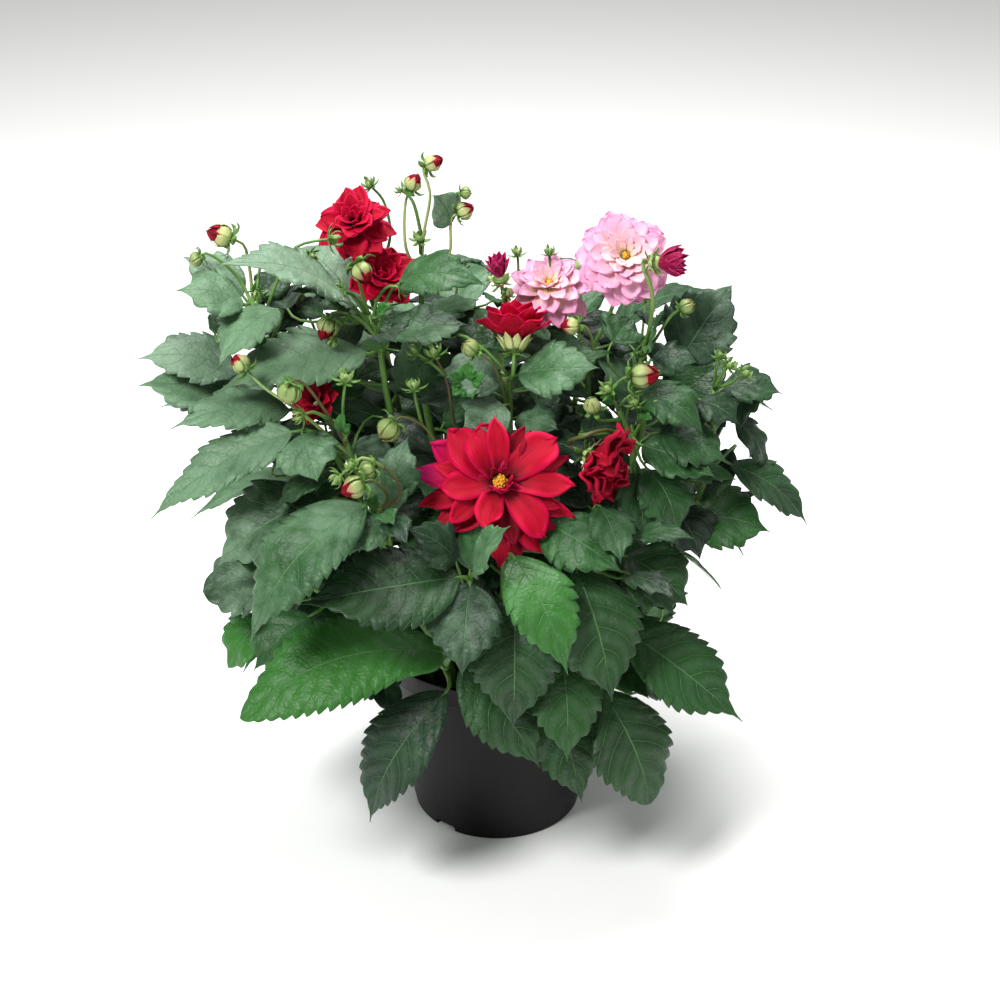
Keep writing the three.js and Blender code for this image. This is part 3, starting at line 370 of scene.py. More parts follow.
def stalkMaterial():
    material, tree, shader, coordinates = newMaterial("stalk green", 0.48)
    spot = coordinates.outputs["Object"]
    tone = attribute(tree, "tone")
    patches = speckle(tree, spot, 70, 4)
    green, dark, pale = (mixed(tree, patches, *[rgb(*level) for level in stalkLook[key]])
                         for key in ("green", "dark", "pale"))
    colour = mixed(tree, ranged(tree, tone, 0.42, 0.0), green, dark)
    colour = mixed(tree, ranged(tree, tone, 0.55, 1.0), colour, pale)
    colour = mixed(tree, attribute(tree, "fresh"), colour, rgb(*stalkLook["blush"]))
    feed(tree, shader.inputs["Base Color"], colour)
    stretched = tree.nodes.new("ShaderNodeMapping")
    stretched.inputs["Scale"].default_value = (1, 1, 0.12)
    tree.links.new(spot, stretched.inputs["Vector"])
    ridges = speckle(tree, stretched.outputs[0], 1500, 2)
    feed(tree, shader.inputs["Normal"], relief(tree, ridges, 0.35, 0.0004))
    feed(tree, shader.inputs["Roughness"], sums(tree, "MULTIPLY_ADD", patches, 0.25, 0.35))
    return material


# heart is the colour at a petal's root: for the red shades a painted shade deep in the bloom, for pink the cream base
petalLook = dict(
    red=dict(heart=(50, 0, 8), body=(160, 0, 30), edge=(210, 4, 72), vein=(104, 0, 18), magenta=(168, 6, 96),
             sheen=(255, 90, 130), rim=0.6),
    darkRed=dict(heart=(52, 0, 8), body=(132, 0, 22), edge=(182, 4, 52), vein=(84, 0, 12),
                 sheen=(255, 90, 130), rim=0.6),
    pink=dict(heart=(252, 240, 180), body=(237, 182, 209), edge=(218, 108, 166), vein=(214, 122, 172),
              cream=(250, 226, 200), sheen=(255, 230, 240), rim=0.55),
    magenta=dict(heart=(110, 40, 44), body=(122, 4, 48), edge=(206, 48, 116), vein=(84, 2, 34),
                 sheen=(255, 120, 180), rim=0.8),
)


def petalMaterial(shade):
    # y of the UV map runs across the petal, x from its root to its tip
    look = petalLook[shade]
    settings = {"Specular IOR Level": 0.12, "Sheen Weight": 0.2, "Sheen Roughness": 0.4,
                "Sheen Tint": rgb(*look["sheen"])}
    material, tree, shader, coordinates = newMaterial(f"{shade} petal", 0.6, **settings)
    split = tree.nodes.new("ShaderNodeSeparateXYZ")
    tree.links.new(coordinates.outputs["UV"], split.inputs[0])
    spot = coordinates.outputs["Object"]
    tone = attribute(tree, "tone")
    patches = speckle(tree, spot, 90, 3)
    reach = sums(tree, "MULTIPLY_ADD", patches, 0.24, sums(tree, "SUBTRACT", split.outputs[0], 0.12))
    heart = (0.66, 0.14) if shade == "pink" else (0.32, 0.02)
    # towards the root the colour goes to heart: painted shade deep in the red blooms
    colour = mixed(tree, ranged(tree, reach, *heart), rgb(*look["body"]), rgb(*look["heart"]))
    off = sums(tree, "ABSOLUTE", sums(tree, "MULTIPLY_ADD", split.outputs[1], 2.0, -1.0))
    rim = sums(tree, "MAXIMUM", ranged(tree, off, 0.6, 1.0), ranged(tree, reach, 0.76, 1.04))
    colour = mixed(tree, sums(tree, "MULTIPLY", rim, look["rim"]), colour, rgb(*look["edge"]))
    streaks = tree.nodes.new("ShaderNodeMapping")
    streaks.inputs["Scale"].default_value = (0.5, 9, 1)
    tree.links.new(coordinates.outputs["UV"], streaks.inputs["Vector"])
    lines = speckle(tree, streaks.outputs[0], 2.6, 3, 0.6)
    colour = mixed(tree, ranged(tree, lines, 0.5, 0.72, 0.0, 0.65), colour, rgb(*look["vein"]))
    colour = mixed(tree, ranged(tree, lines, 0.48, 0.28, 0.0, 0.45), colour, rgb(*look["edge"]))
    colour = mixed(tree, ranged(tree, tone, 0.5, 1.0, 0.0, 0.35), colour, rgb(*look["edge"]))
    # below a tone of 0.5 the petal darkens: painted shade on the hanging and lower petals
    paintedShade = look["edge" if shade == "pink" else "heart"]
    colour = mixed(tree, ranged(tree, tone, 0.5, 0.0, 0.0, 0.75), colour, rgb(*paintedShade))
    if shade == "pink":  # the inner petals are cream
        colour = mixed(tree, ranged(tree, tone, 0.56, 0.86, 0.0, 0.55), colour, rgb(*look["cream"]))
    if shade == "red":  # a few petals turn magenta towards the tip
        share = sums(tree, "MULTIPLY", ranged(tree, tone, 0.72, 1.0), ranged(tree, reach, 0.35, 0.95))
        colour = mixed(tree, share, colour, rgb(*look["magenta"]))
    feed(tree, shader.inputs["Base Color"], colour)
    feed(tree, shader.inputs["Roughness"], sums(tree, "MULTIPLY_ADD", lines, 0.2, 0.5))
    bumps = relief(tree, lines, 0.45, 0.0006)
    feed(tree, shader.inputs["Normal"], relief(tree, speckle(tree, spot, 900, 2), 0.12, 0.0002, bumps))
    return material


discLook = dict(yellow=(236, 170, 20), light=(255, 214, 60), brown=(176, 84, 10), grainSize=900)


def discMaterial():
    material, tree, shader, coordinates = newMaterial("disc yellow", 0.7)
    spot = coordinates.outputs["Object"]
    grains = cells(tree, spot, discLook["grainSize"], "F1")
    colour = mixed(tree, speckle(tree, spot, 260, 3), rgb(*discLook["yellow"]), rgb(*discLook["light"]))
    colour = mixed(tree, ranged(tree, grains, 0.25, 0.6, 0.0, 0.5), colour, rgb(*discLook["brown"]))
    feed(tree, shader.inputs["Base Color"], colour)
    feed(tree, shader.inputs["Normal"], relief(tree, grains, 0.5, 0.0005))
    return material


leafTop, leafUnder, stalkGreen, discYellow = leafTopMaterial(), leafUnderMaterial(), stalkMaterial(), discMaterial()
petalPaint = {shade: petalMaterial(shade) for shade in petalLook}
print("materials made")


# Pot

potLook = dict(
    height=135, baseRadius=57.5, shoulderRadius=78.5, rimRadius=82.5, rimHeight=15, wall=2.2, floor=3,
    edge=0.7, steps=96, notches=3, firstNotch=-128, notchWidth=16, notchHeight=5, notchDepth=9,
    colour=(3, 3, 3), worn=(10, 10, 9),
)


def potMaterial():
    material, tree, shader, coordinates = newMaterial("pot plastic", 0.5, **{"Specular IOR Level": 0.2})
    spot = coordinates.outputs["Object"]
    dust = speckle(tree, spot, 18, 5, 0.65)
    streaks = tree.nodes.new("ShaderNodeMapping")
    streaks.inputs["Scale"].default_value = (1, 1, 0.15)
    tree.links.new(spot, streaks.inputs["Vector"])
    runs = speckle(tree, streaks.outputs[0], 120, 3)
    colour = mixed(tree, ranged(tree, dust, 0.5, 0.85, 0.0, 0.5), rgb(*potLook["colour"]), rgb(*potLook["worn"]))
    colour = mixed(tree, ranged(tree, runs, 0.55, 0.8, 0.0, 0.3), colour, rgb(*potLook["worn"]))
    feed(tree, shader.inputs["Base Color"], colour)
    feed(tree, shader.inputs["Roughness"], sums(tree, "MULTIPLY_ADD", dust, 0.3, 0.28))
    grain = speckle(tree, spot, 1400, 2)
    feed(tree, shader.inputs["Normal"], relief(tree, grain, 0.12, 0.0002))
    return material


def wallRadius(height):
    look = potLook
    widening = look["shoulderRadius"] - look["baseRadius"]
    return look["baseRadius"] + widening * height / (look["height"] - look["rimHeight"])


def spun(mesh, profile, steps):
    # turns a line of (radius, height) points round the pot's axis
    verts = [mesh.verts.new((radius, 0, height)) for radius, height in profile]
    edges = [mesh.edges.new(pair) for pair in zip(verts, verts[1:])]
    bmesh.ops.spin(mesh, geom=verts + edges, cent=(0, 0, 0), axis=(0, 0, 1), angle=2 * math.pi,
                   steps=steps, use_merge=True)
    bmesh.ops.remove_doubles(mesh, verts=mesh.verts, dist=0.0005)
    bmesh.ops.recalc_face_normals(mesh, faces=mesh.faces)


def makePot():
    look = potLook
    rimBottom = look["height"] - look["rimHeight"]
    rim, wall = look["rimRadius"], look["wall"]
    mesh = bmesh.new()
    spun(mesh, [
        (0, 1.2), (look["baseRadius"] - 9, 1.2), (look["baseRadius"] - 7, 0), (look["baseRadius"] - 0.6, 0),
        (look["baseRadius"] + 0.1, 0.6), (look["shoulderRadius"] - 0.2, rimBottom - 0.4),
        (look["shoulderRadius"] + 0.2, rimBottom), (rim - 1.3, rimBottom), (rim - 0.8, rimBottom + 0.6),
        (rim - 0.3, look["height"] - 2.6), (rim, look["height"] - 1.6), (rim, look["height"] - 0.5),
        (rim - 0.6, look["height"]), (rim - wall + 0.5, look["height"]), (rim - wall, look["height"] - 0.6),
        (look["shoulderRadius"] - wall, rimBottom), (wallRadius(look["floor"]) - wall, look["floor"]),
        (0, look["floor"]),
    ], look["steps"])
    pot = finishPiece(mesh, "pot", [potMaterial()], ["pot"])
    cutters = bmesh.new()
    for i in range(look["notches"]):
        turn = Matrix.Rotation(math.radians(look["firstNotch"] + 360 * i / look["notches"]), 4, "Z")
        size = Matrix.Diagonal((2 * look["notchDepth"], look["notchWidth"], 2 * look["notchHeight"], 1))
        bmesh.ops.create_cube(cutters, size=1, matrix=turn @ Matrix.Translation((look["baseRadius"], 0, 0)) @ size)
    bmesh.ops.bevel(cutters, geom=cutters.edges[:], offset=2, segments=3, profile=0.5, affect="EDGES", material=-1)
    bmesh.ops.scale(cutters, vec=(millimetre,) * 3, verts=cutters.verts)
    data = bpy.data.meshes.new("notch cutter")
    cutters.to_mesh(data)
    cutters.free()
    cutter = bpy.data.objects.new("notch cutter", data)
    scene.collection.objects.link(cutter)
    cut = pot.modifiers.new("notches", "BOOLEAN")
    cut.operation, cut.object, cut.solver = "DIFFERENCE", cutter, "EXACT"
    bpy.context.view_layer.update()
    carved = bpy.data.meshes.new_from_object(pot.evaluated_get(bpy.context.evaluated_depsgraph_get()))
    pot.modifiers.clear()
    pot.data = carved
    bpy.data.objects.remove(cutter)
    carved.shade_smooth()
    carved.set_sharp_from_angle(angle=math.radians(35))


# Potting soil

soilLook = dict(
    edgeLevel=119, crown=123, gap=0.35, rings=26, steps=110, lumps=1.4, crumbs=420, crumbSize=(0.8, 2.6),
    dark=(24, 16, 11), brown=(74, 52, 36), fibres=(120, 92, 62),
)


def soilMaterial():
    material, tree, shader, coordinates = newMaterial("potting soil", 0.95)
    spot = coordinates.outputs["Object"]
    lumps = speckle(tree, spot, 160, 6, 0.7)
    colour = mixed(tree, lumps, rgb(*soilLook["dark"]), rgb(*soilLook["brown"]))
    fibres = speckle(tree, spot, 520, 3, 0.6, 1.5)
    colour = mixed(tree, ranged(tree, fibres, 0.6, 0.72, 0.0, 0.6), colour, rgb(*soilLook["fibres"]))
    feed(tree, shader.inputs["Base Color"], colour)
    feed(tree, shader.inputs["Normal"], relief(tree, lumps, 0.8, 0.0015))
    return material


def makeSoil():
    look = soilLook
    bottom = potLook["floor"] + look["gap"]
    inner = [wallRadius(height) - potLook["wall"] - look["gap"] for height in (bottom, look["edgeLevel"])]
    dome = look["crown"] - look["edgeLevel"]
    mesh = bmesh.new()
    top = [(inner[1] * (1 - i / look["rings"]), look["edgeLevel"] + dome * i / look["rings"])
           for i in range(look["rings"] + 1)]
    spun(mesh, [(0, bottom), (inner[0], bottom), *top], look["steps"])
    for vert in mesh.verts:
        rim = 1 - smoothStep(inner[1] - 4, inner[1], vert.co.xy.length)
        if vert.co.z > look["edgeLevel"] - 1:
            vert.co.z += rim * look["lumps"] * (noise.noise(vert.co / 7) + 0.5 * noise.noise(vert.co / 2.6) - 0.35)
    chance = random.Random(5)
    for i in range(look["crumbs"]):
        turn, radius = chance.uniform(0, 2 * math.pi), (inner[1] - 4) * math.sqrt(chance.random())
        size = chance.uniform(*look["crumbSize"])
        level = look["edgeLevel"] + dome * (1 - radius / inner[1]) - 0.3
        spot = Matrix.Translation((radius * math.cos(turn), radius * math.sin(turn), level))
        squash = Matrix.Diagonal((size, size * chance.uniform(0.5, 1), size * chance.uniform(0.4, 0.8), 1))
        lean = Euler([chance.uniform(0, 3) for _ in range(3)]).to_matrix().to_4x4()
        bmesh.ops.create_icosphere(mesh, subdivisions=1, radius=0.6, matrix=spot @ lean @ squash)
    finishPiece(mesh, "soil", [soilMaterial()], ["soil"], smooth=False)


makePot()
makeSoil()
print("pot and soil made")


# Leaves

leafShape = dict(
    fold=0.14, arch=0.13, belly=0.72, rows=3, outward=0.35, front=0.35, thickness=0.55, petiole=1.15,
    toothPitch=7.8, toothDepth=0.11, pointed=0.8, veinPitch=13, quilt=0.4, wave=1.5, droop=0.12, fresh=None,
    foldSpread=0.09, twist=0.22, tipPower=0.6, basePower=0.0, sway=0.0,
)
bendSteps = dict(shift=6, steps=8, arch=0.07, near=0.6)


def bladeProfile(share, belly):
    return max(0, math.sin(math.pi * min(1, share) ** belly)) ** 1.05


def bladeOutline(share, form):
    # the same, drawn out to a fine tip, or blunter below zero
    power = 1 + form["tipPower"] * smoothStep(0.62, 1, share) + form["basePower"] * (1 - smoothStep(0, 0.38, share))
    return bladeProfile(share, form["belly"]) ** power


def leafForm(leaf, shift, extraArch):
    form = {**leafShape, **leaf}
    if isinstance(leaf["tip"], Vector):
        base, tip = leaf["base"].copy(), leaf["tip"] + upward * shift
    else:
        base, tip = ([across, down, depth + move]
                     for (across, down, depth), move in ((leaf["base"], 0.3 * shift), (leaf["tip"], shift)))
        base, tip = at(base), at(tip)
    chord = tip - base
    along = chord.normalized()
    middle = (base + tip) / 2
    away = Vector((middle.x, middle.y, 0)).normalized()
    lift = Vector((0, -form["front"], 1)) + away * form["outward"]
    normal = (lift - along * lift.dot(along)).normalized()
    arch = form["arch"] + extraArch
    form.update(rib=(base, middle + normal * (2 * arch * chord.length), tip), side=along.cross(normal),
                normal=normal, length=chord.length)
    return form


def swayed(form, share):
    # sway draws the midrib off to one side between its ends
    return form["side"] * (form["sway"] * form["length"] * 4 * share * (1 - share))


def outlineCorners(form):
    # the tip and the tooth tips of the coarse blade
    corners = [form["rib"][2]]
    count = 2 * form["rows"]
    for i in range(1, count, 2):
        share = (i + 0.35) / count
        reach = form["width"] / 2 * bladeProfile(share, form["belly"]) * 1.1
        spot = onBow(form["rib"], share) + form["side"].cross(bowHeading(form["rib"], share)) * (form["fold"] * reach)
        corners += [spot + form["side"] * reach, spot - form["side"] * reach]
    return corners


def settledForm(leaf, tree):
    # the bend at which the blade's corners lie on the solid's
    best, form = 0, None
    for i in range(2 * bendSteps["steps"] + 1):
        shift = bendSteps["shift"] * math.ceil(i / 2) * (-1 if i % 2 else 1)
        for turn in (0, 1, -1):
            tried = leafForm(leaf, shift, turn * bendSteps["arch"])
            corners = outlineCorners(tried)
            found = sum(tree.find(corner)[2] < bendSteps["near"] for corner in corners) / len(corners)
            if found > best + 0.01:
                best, form = found, tried
    return form if best > 0.5 else None


def growBlade(mesh, form, tone, chance, steps=(6, 12)):
    teeth, veins = (max(3, round(form["length"] / form[pitch])) for pitch in ("toothPitch", "veinPitch"))
    fresh = chance.uniform(0, 0.4) if form["fresh"] is None else form["fresh"]
    made = addGrid(mesh, steps[0] * teeth, steps[1], tone, fresh)
    coordinates = mesh.loops.layers.uv.active
    rib, side, half = form["rib"], form["side"], form["width"] / 2
    wavePhase, wavePitch = chance.uniform(0, 6), chance.uniform(2.2, 3.4)
    skew = chance.uniform(-0.06, 0.06)
    fold = form["fold"] + chance.uniform(-form["foldSpread"], form["foldSpread"])
    twist = chance.uniform(-form["twist"], form["twist"])
    for vert in made:
        for loop in vert.link_loops:
            loop[coordinates].uv.x *= veins
    for vert in made:
        share, across = vert.co.x + 0.5, 2 * vert.co.y
        off = abs(across)
        edge = smoothStep(0.55, 1, off)
        step = (share * teeth) % 1
        rising = min(math.sin(0.75 * math.pi * step) if step < 2 / 3 else 1, 3 - 3 * step)
        toothed = smoothStep(0.08, 0.25, share) * edge
        ahead = share + form["pointed"] / teeth * rising * toothed * (1 - share)
        reach = half * bladeOutline(share, form) * (1 - form["toothDepth"] * toothed * (0.65 - rising))
        reach *= 1 + skew * across
        normal = side.cross(bowHeading(rib, min(1, ahead)))
        curve = leafLook["veinCurve"]
        phase = share * veins - leafLook["veinLean"] * off * (1 - curve + curve * off)
        phase += leafLook["stagger"] if across > 0 else 0
        body = min(1, bladeProfile(share, form["belly"]) * 2)
        lift = fold * reach * (off ** 1.2) - form["droop"] * reach * off ** 4 + twist * reach * across * share ** 2
        lift -= form["quilt"] * math.cos(2 * math.pi * phase) * min(1, off * 4) * (1 - edge * 0.6) * body
        lift -= 0.5 * (1 - smoothStep(0, 0.17, off)) * body
        lift += form["wave"] * math.sin(wavePitch * 2 * math.pi * share + wavePhase + across) * off ** 2 * body
        vert.co = onBow(rib, min(1, ahead)) + swayed(form, share) - side * (across * reach) + normal * lift
    bmesh.ops.remove_doubles(mesh, verts=made, dist=0.02)


def growLeafStalk(mesh, form, root, tone):
    rib, side = form["rib"], form["side"]
    foot, leaving = rib[0], bowHeading(rib, 0)
    stretch = (foot - root).length
    petiole = (root, foot - leaving * (0.45 * stretch), foot)
    steps = max(3, round(stretch / 9))
    girth = form["petiole"] * min(1.15, 0.55 + form["length"] / 160)
    shares = (0.06, 0.18, 0.34, 0.5, 0.65, 0.8, 0.92)
    ribGirths = tapered(girth * 0.75, 0.18, len(shares))
    underneath = [onBow(rib, share) + swayed(form, share) - side.cross(bowHeading(rib, share)) * (0.6 * thick + 0.75)
                  for share, thick in zip(shares, ribGirths)]
    path = alongBow(petiole, steps) + underneath
    girths = tapered(girth * 1.25, girth * 0.9, steps + 1) + ribGirths
    addTube(mesh, path, girths, 7, tone, flat=0.85, across=side)


# Buds and the green parts under a bloom. Heights and radii are shares of the bud's size.

budShape = dict(
    round=dict(
        scaleTone=0.74,
        body=[(-0.1, 0.34), (0.12, 0.74), (0.45, 0.97), (0.9, 1.0), (1.3, 0.84), (1.62, 0.5), (1.85, 0.06)],
        scales=dict(count=6, line=[(0.74, 0.15), (1.01, 0.8), (0.84, 1.35), (0.3, 1.84)], width=0.6, flat=0.08,
                    blush=0.35),
        bracts=dict(count=5, line=[(0.35, 0.02), (0.9, -0.16), (1.35, -0.2), (1.62, 0.1)], width=0.4),
    ),
    tipped=dict(
        scaleTone=1.0,
        body=[(-0.1, 0.34), (0.12, 0.68), (0.45, 0.88), (0.85, 0.92), (1.2, 0.78), (1.4, 0.64)],
        scales=dict(count=6, line=[(0.72, 0.1), (1.0, 0.75), (0.88, 1.3), (0.5, 1.82)], width=0.6, flat=0.08,
                    blush=0.9),
        bracts=dict(count=5, line=[(0.35, 0.02), (0.95, -0.2), (1.45, -0.2), (1.85, 0.25)], width=0.46),
    ),
    star=dict(
        scaleTone=0.7,
        body=[(-0.1, 0.3), (0.15, 0.55), (0.5, 0.66), (0.9, 0.5), (1.2, 0.06)],
        scales=dict(count=5, line=[(0.4, 0.2), (0.85, 0.8), (0.95, 1.3), (0.7, 1.75)], width=0.34),
        bracts=dict(count=6, line=[(0.3, 0.02), (1.0, 0.1), (1.6, 0.32), (2.05, 0.7)], width=0.34),
    ),
)


def facingFrame(direction, origin):
    turn = upward.rotation_difference(direction)
    return Matrix.Translation(origin) @ turn.to_matrix().to_4x4()


def addTurned(mesh, frame, profile, size, tone, sides=12):
    path = [frame @ Vector((0, 0, height * size)) for height, radius in profile]
    across = frame.to_3x3() @ Vector((1, 0, 0))
    addTube(mesh, path, [radius * size for height, radius in profile], sides, tone, across=across)


def addLobes(mesh, frame, lobes, size, tone, chance, turn=0.0, stagger=0.12):
    # pointed scales, bracts or closed petals round the axis
    for i in range(lobes["count"]):
        angle = turn + 2 * math.pi * (i + chance.uniform(-stagger, stagger)) / lobes["count"]
        about = frame @ Matrix.Rotation(angle, 4, "Z")
        longer = size * chance.uniform(0.9, 1.1)
        line = [about @ Vector((radius * longer, 0, height * longer)) for radius, height in lobes["line"]]
        path = smoothPath(line, size)
        wide = lobes["width"] * size
        girths = [wide * math.sin(math.pi * (0.2 + 0.79 * i / (len(path) - 1))) for i in range(len(path))]
        addTube(mesh, path, girths, 6, tone, flat=lobes.get("flat", 0.22), across=about.to_3x3() @ Vector((0, 1, 0)),
                blush=lobes.get("blush", 0.0))


closedPetals = dict(count=7, line=[(0.66, 0.95), (0.72, 1.35), (0.5, 1.8), (0.12, 2.2)], width=0.42, flat=0.22)


def growBud(mesh, bud, start, chance, tone):
    via = [place(spot) for spot in bud["via"]]
    head, size = place(bud["head"]), bud["size"]
    direction = (head - (via[-1] if via else start)).normalized()
    origin = head - direction * (0.9 * size)
    frame = facingFrame(direction, origin)
    shape = budShape[bud["kind"]]
    path = smoothPath([start, *via, origin + direction * (0.1 * size)], 5)
    addTube(mesh, path, tapered(1.2, 0.8, len(path)), 7, bud.get("stalkTone", tone))
    addTurned(mesh, frame, shape["body"], size, 0.68)
    addLobes(mesh, frame, shape["scales"], size, bud.get("scaleTone", shape["scaleTone"]), chance, turn=0.4)
    addLobes(mesh, frame, shape["bracts"], size, 0.42, chance)
    if bud["kind"] == "tipped":
        tip = startMesh()
        addTurned(tip, frame, [(1.3, 0.5), (1.5, 0.52), (1.85, 0.34), (2.16, 0.05)], size, 0.5)
        addLobes(tip, frame, closedPetals, size, 0.5, chance)
        name = f"bud_tip_{bud['name']}"
        shade = bud.get("shade", "darkRed")
        finishPiece(tip, name + "_petals", [petalPaint[shade]], [name])


# Blooms, from the outer layer of petals in. The frame's origin is the foot of the hub.
# A ring of petals is (count, level, length, width, rise, curl); loose is how much they differ.

blooms = {
    "doubleRed": dict(
        shade="red", hub=5, calyx=6.5, top=6, cup=0.26, point=1.9, loose=2.2, crumple=0.04,
        rings=[(7, 1, 26, 16, 2, 18), (7, 2.4, 25, 15, 18, 24), (7, 4, 22, 14, 36, 26),
               (6, 5.2, 17, 11, 54, 22), (5, 6, 13, 8, 72, 14), (3, 6, 9, 6, 84, 8)],
    ),
    "cupRed": dict(
        shade="red", hub=5, calyx=6.5, top=5, cup=0.24, point=2.3, loose=1.8, crumple=0.05,
        rings=[(7, 1, 25, 17, 16, 6), (7, 2.6, 24, 15, 32, 12), (7, 4.4, 22, 13, 50, 12), (5, 5, 16, 10, 70, 16),
               (4, 5, 12, 8, 84, 4)],
    ),
    "sideRed": dict(
        shade="red", hub=5, calyx=6.5, top=5, cup=0.3, point=2.1, loose=1.5, crumple=0.05, sepalWidth=0.5,
        sepalLine=[(0.8, -0.8), (1.1, -0.35), (1.5, 0.2), (1.9, 0.6)],
        rings=[(8, 1, 27, 16, 35, 2), (8, 2.6, 26, 15, 49, 2), (7, 4.4, 23, 12, 63, 4), (5, 5, 18, 9, 78, 4)],
    ),
    "crumpledRed": dict(
        shade="darkRed", hub=4.5, calyx=6.5, top=5, cup=0.3, point=2.8, sepals=1.35, loose=2.6, crumple=0.15,
        tall=0.7, tallTurn=-55, stalkTone=0.12,
        rings=[(7, 1, 27, 18, 6, -26), (7, 2.6, 25, 17, 24, -34), (6, 4.4, 21, 15, 42, -40), (5, 5, 16, 12, 60, -44)],
    ),
    "pinkWide": dict(
        shade="pink", hub=6.5, disc=5, calyx=7, top=8, cup=0.3, point=3.4, widest=0.6, ragged=0.03, heart=0.7,
        paintedShade=0.2, loose=1.5, crumple=0.02,
        rings=[(10, 1, 30, 16, -3, 4), (10, 2.6, 29, 15.5, 6, 6), (9, 4.5, 26, 14.5, 15, 8), (9, 6.2, 22, 12, 25, 10),
               (8, 7.4, 17, 9, 38, 12), (7, 8, 12, 6.5, 54, 16), (6, 8.4, 8, 4, 72, 30)],
    ),
    "pinkDouble": dict(
        shade="pink", hub=6, disc=4, calyx=7, top=8, cup=0.36, point=2.5, widest=0.55, ragged=0.03, heart=0.7,
        drape=36, paintedShade=0.35, loose=1.8, crumple=0.03,
        rings=[(10, 1, 27, 13, -2, 10), (10, 2.6, 26, 12, 12, 10), (9, 4.5, 22, 11, 26, 12), (8, 6.2, 18, 9, 40, 14),
               (7, 7.6, 13, 7, 56, 16), (6, 8.4, 9, 5, 72, 26), (5, 8.4, 6, 3.6, 84, 30)],
    ),
    "closing": dict(
        shade="magenta", hub=4.5, calyx=5.5, top=4, cup=0.55, point=1.5, loose=1.8, crumple=0.05, sepals=1.1,
        neck=5, stalkTone=0.65,
        rings=[(9, 1, 20, 8, 40, -66), (9, 2, 19, 8, 50, -60), (8, 3, 17, 7, 62, -52), (6, 3.4, 15, 6, 76, -30)],
    ),
    "opening": dict(
        shade="magenta", hub=3.5, calyx=5, top=4, cup=0.4, point=1.7, loose=1.5, stalkTone=0.85,
        rings=[(7, 1, 16, 7, 56, -20), (7, 2.4, 15, 6, 66, -16), (5, 4, 12, 5, 76, -8)],
    ),
    "smallRed": dict(
        shade="darkRed", hub=4, calyx=5, top=4, cup=0.25, point=1.9,
        rings=[(7, 1, 16, 11, 18, 14), (6, 2.6, 14, 9, 38, 14), (5, 4, 11, 7, 58, 10)],
    ),
    "largeRed": dict(
        shade="red", hub=9, disc=7.5, heart=3.8, calyx=9, top=8, cup=0.24, point=1.9, loose=2.4, crumple=0.06,
        widest=0.6, ragged=0.05, rings=[],
        # single petals: turn from the right, then level, length, width, rise, curl, tone and point; a tone below 0.5
        # darkens a petal with painted shade
        petals=[
            (148, 1, 47, 20, 10, 8, 0.85, 1.5), (172, 1, 52, 18, 4, 6, 1.0, 1.4), (193, 1, 48, 15, 0, 8, 0.5, 1.5),
            (208, 1, 45, 14, -4, 6, 0.35, 1.4), (230, 1, 39, 16, -6, 6, 0.3, 1.5), (266, 1, 47, 16, -10, 4, 0.3, 1.8),
            (289, 1, 45, 18, -8, 6, 0.15, 1.8), (304, 1, 51, 24, -6, 8, 0.3, 2.4), (332, 1, 46, 13, 2, 8, 0.35, 1.3),
            (26, 1, 42, 14, 6, 10, 0.4, 1.4), (6, 1, 39, 13, 6, 10, 0.35, 1.5), (90, 1, 32, 16, 16, 10, 0.3, 1.6),
            (124, 1, 36, 19, 14, 10, 0.45, 1.7), (62, 1, 35, 16, 14, 10, 0.35, 1.6),
            (112, 7, 34, 27, 24, 22, 0.58, 3.0), (142, 7, 41, 25, 16, 16, 0.64, 2.1), (90, 8, 37, 14, 28, 14, 0.5, 1.6),
            (42, 7, 41, 25, 20, 18, 0.58, 2.9), (356, 7, 43, 17, 12, 12, 0.52, 1.4),
            (315, 7, 41, 21, 10, 26, 0.62, 2.3), (190, 7, 34, 19, 18, 26, 0.6, 2.1),
            (247, 7, 28, 18, 18, 10, 0.5, 1.8), (213, 5, 37, 14, 8, 12, 0.45, 1.6), (287, 4, 36, 14, 2, 10, 0.1, 1.6),
            (330, 5, 36, 12, 8, 10, 0.3, 1.5), (67, 6, 34, 12, 22, 10, 0.2, 1.6), (167, 5, 38, 14, 12, 10, 0.5, 1.6),
            (248, 9, 13, 9, 50, -50, 0.5, 1.9), (278, 9, 14, 10, 46, -60, 0.55, 2.2),
            (310, 9, 13, 9, 50, -50, 0.5, 1.9), (350, 9, 12, 7, 62, -30, 0.45, 1.9),
            (60, 9, 12, 6, 66, -20, 0.2, 1.9), (130, 9, 11, 6, 66, -20, 0.2, 1.9),
        ],
    ),
}


def petalProfile(share, point, widest, foot=0.42):
    # a low point makes a sharp tip
    if share < widest:
        return foot + (1 - foot) * math.sin(math.pi / 2 * share / widest)
    return max(0, 1 - ((share - widest) / (1 - widest)) ** point) ** 0.8


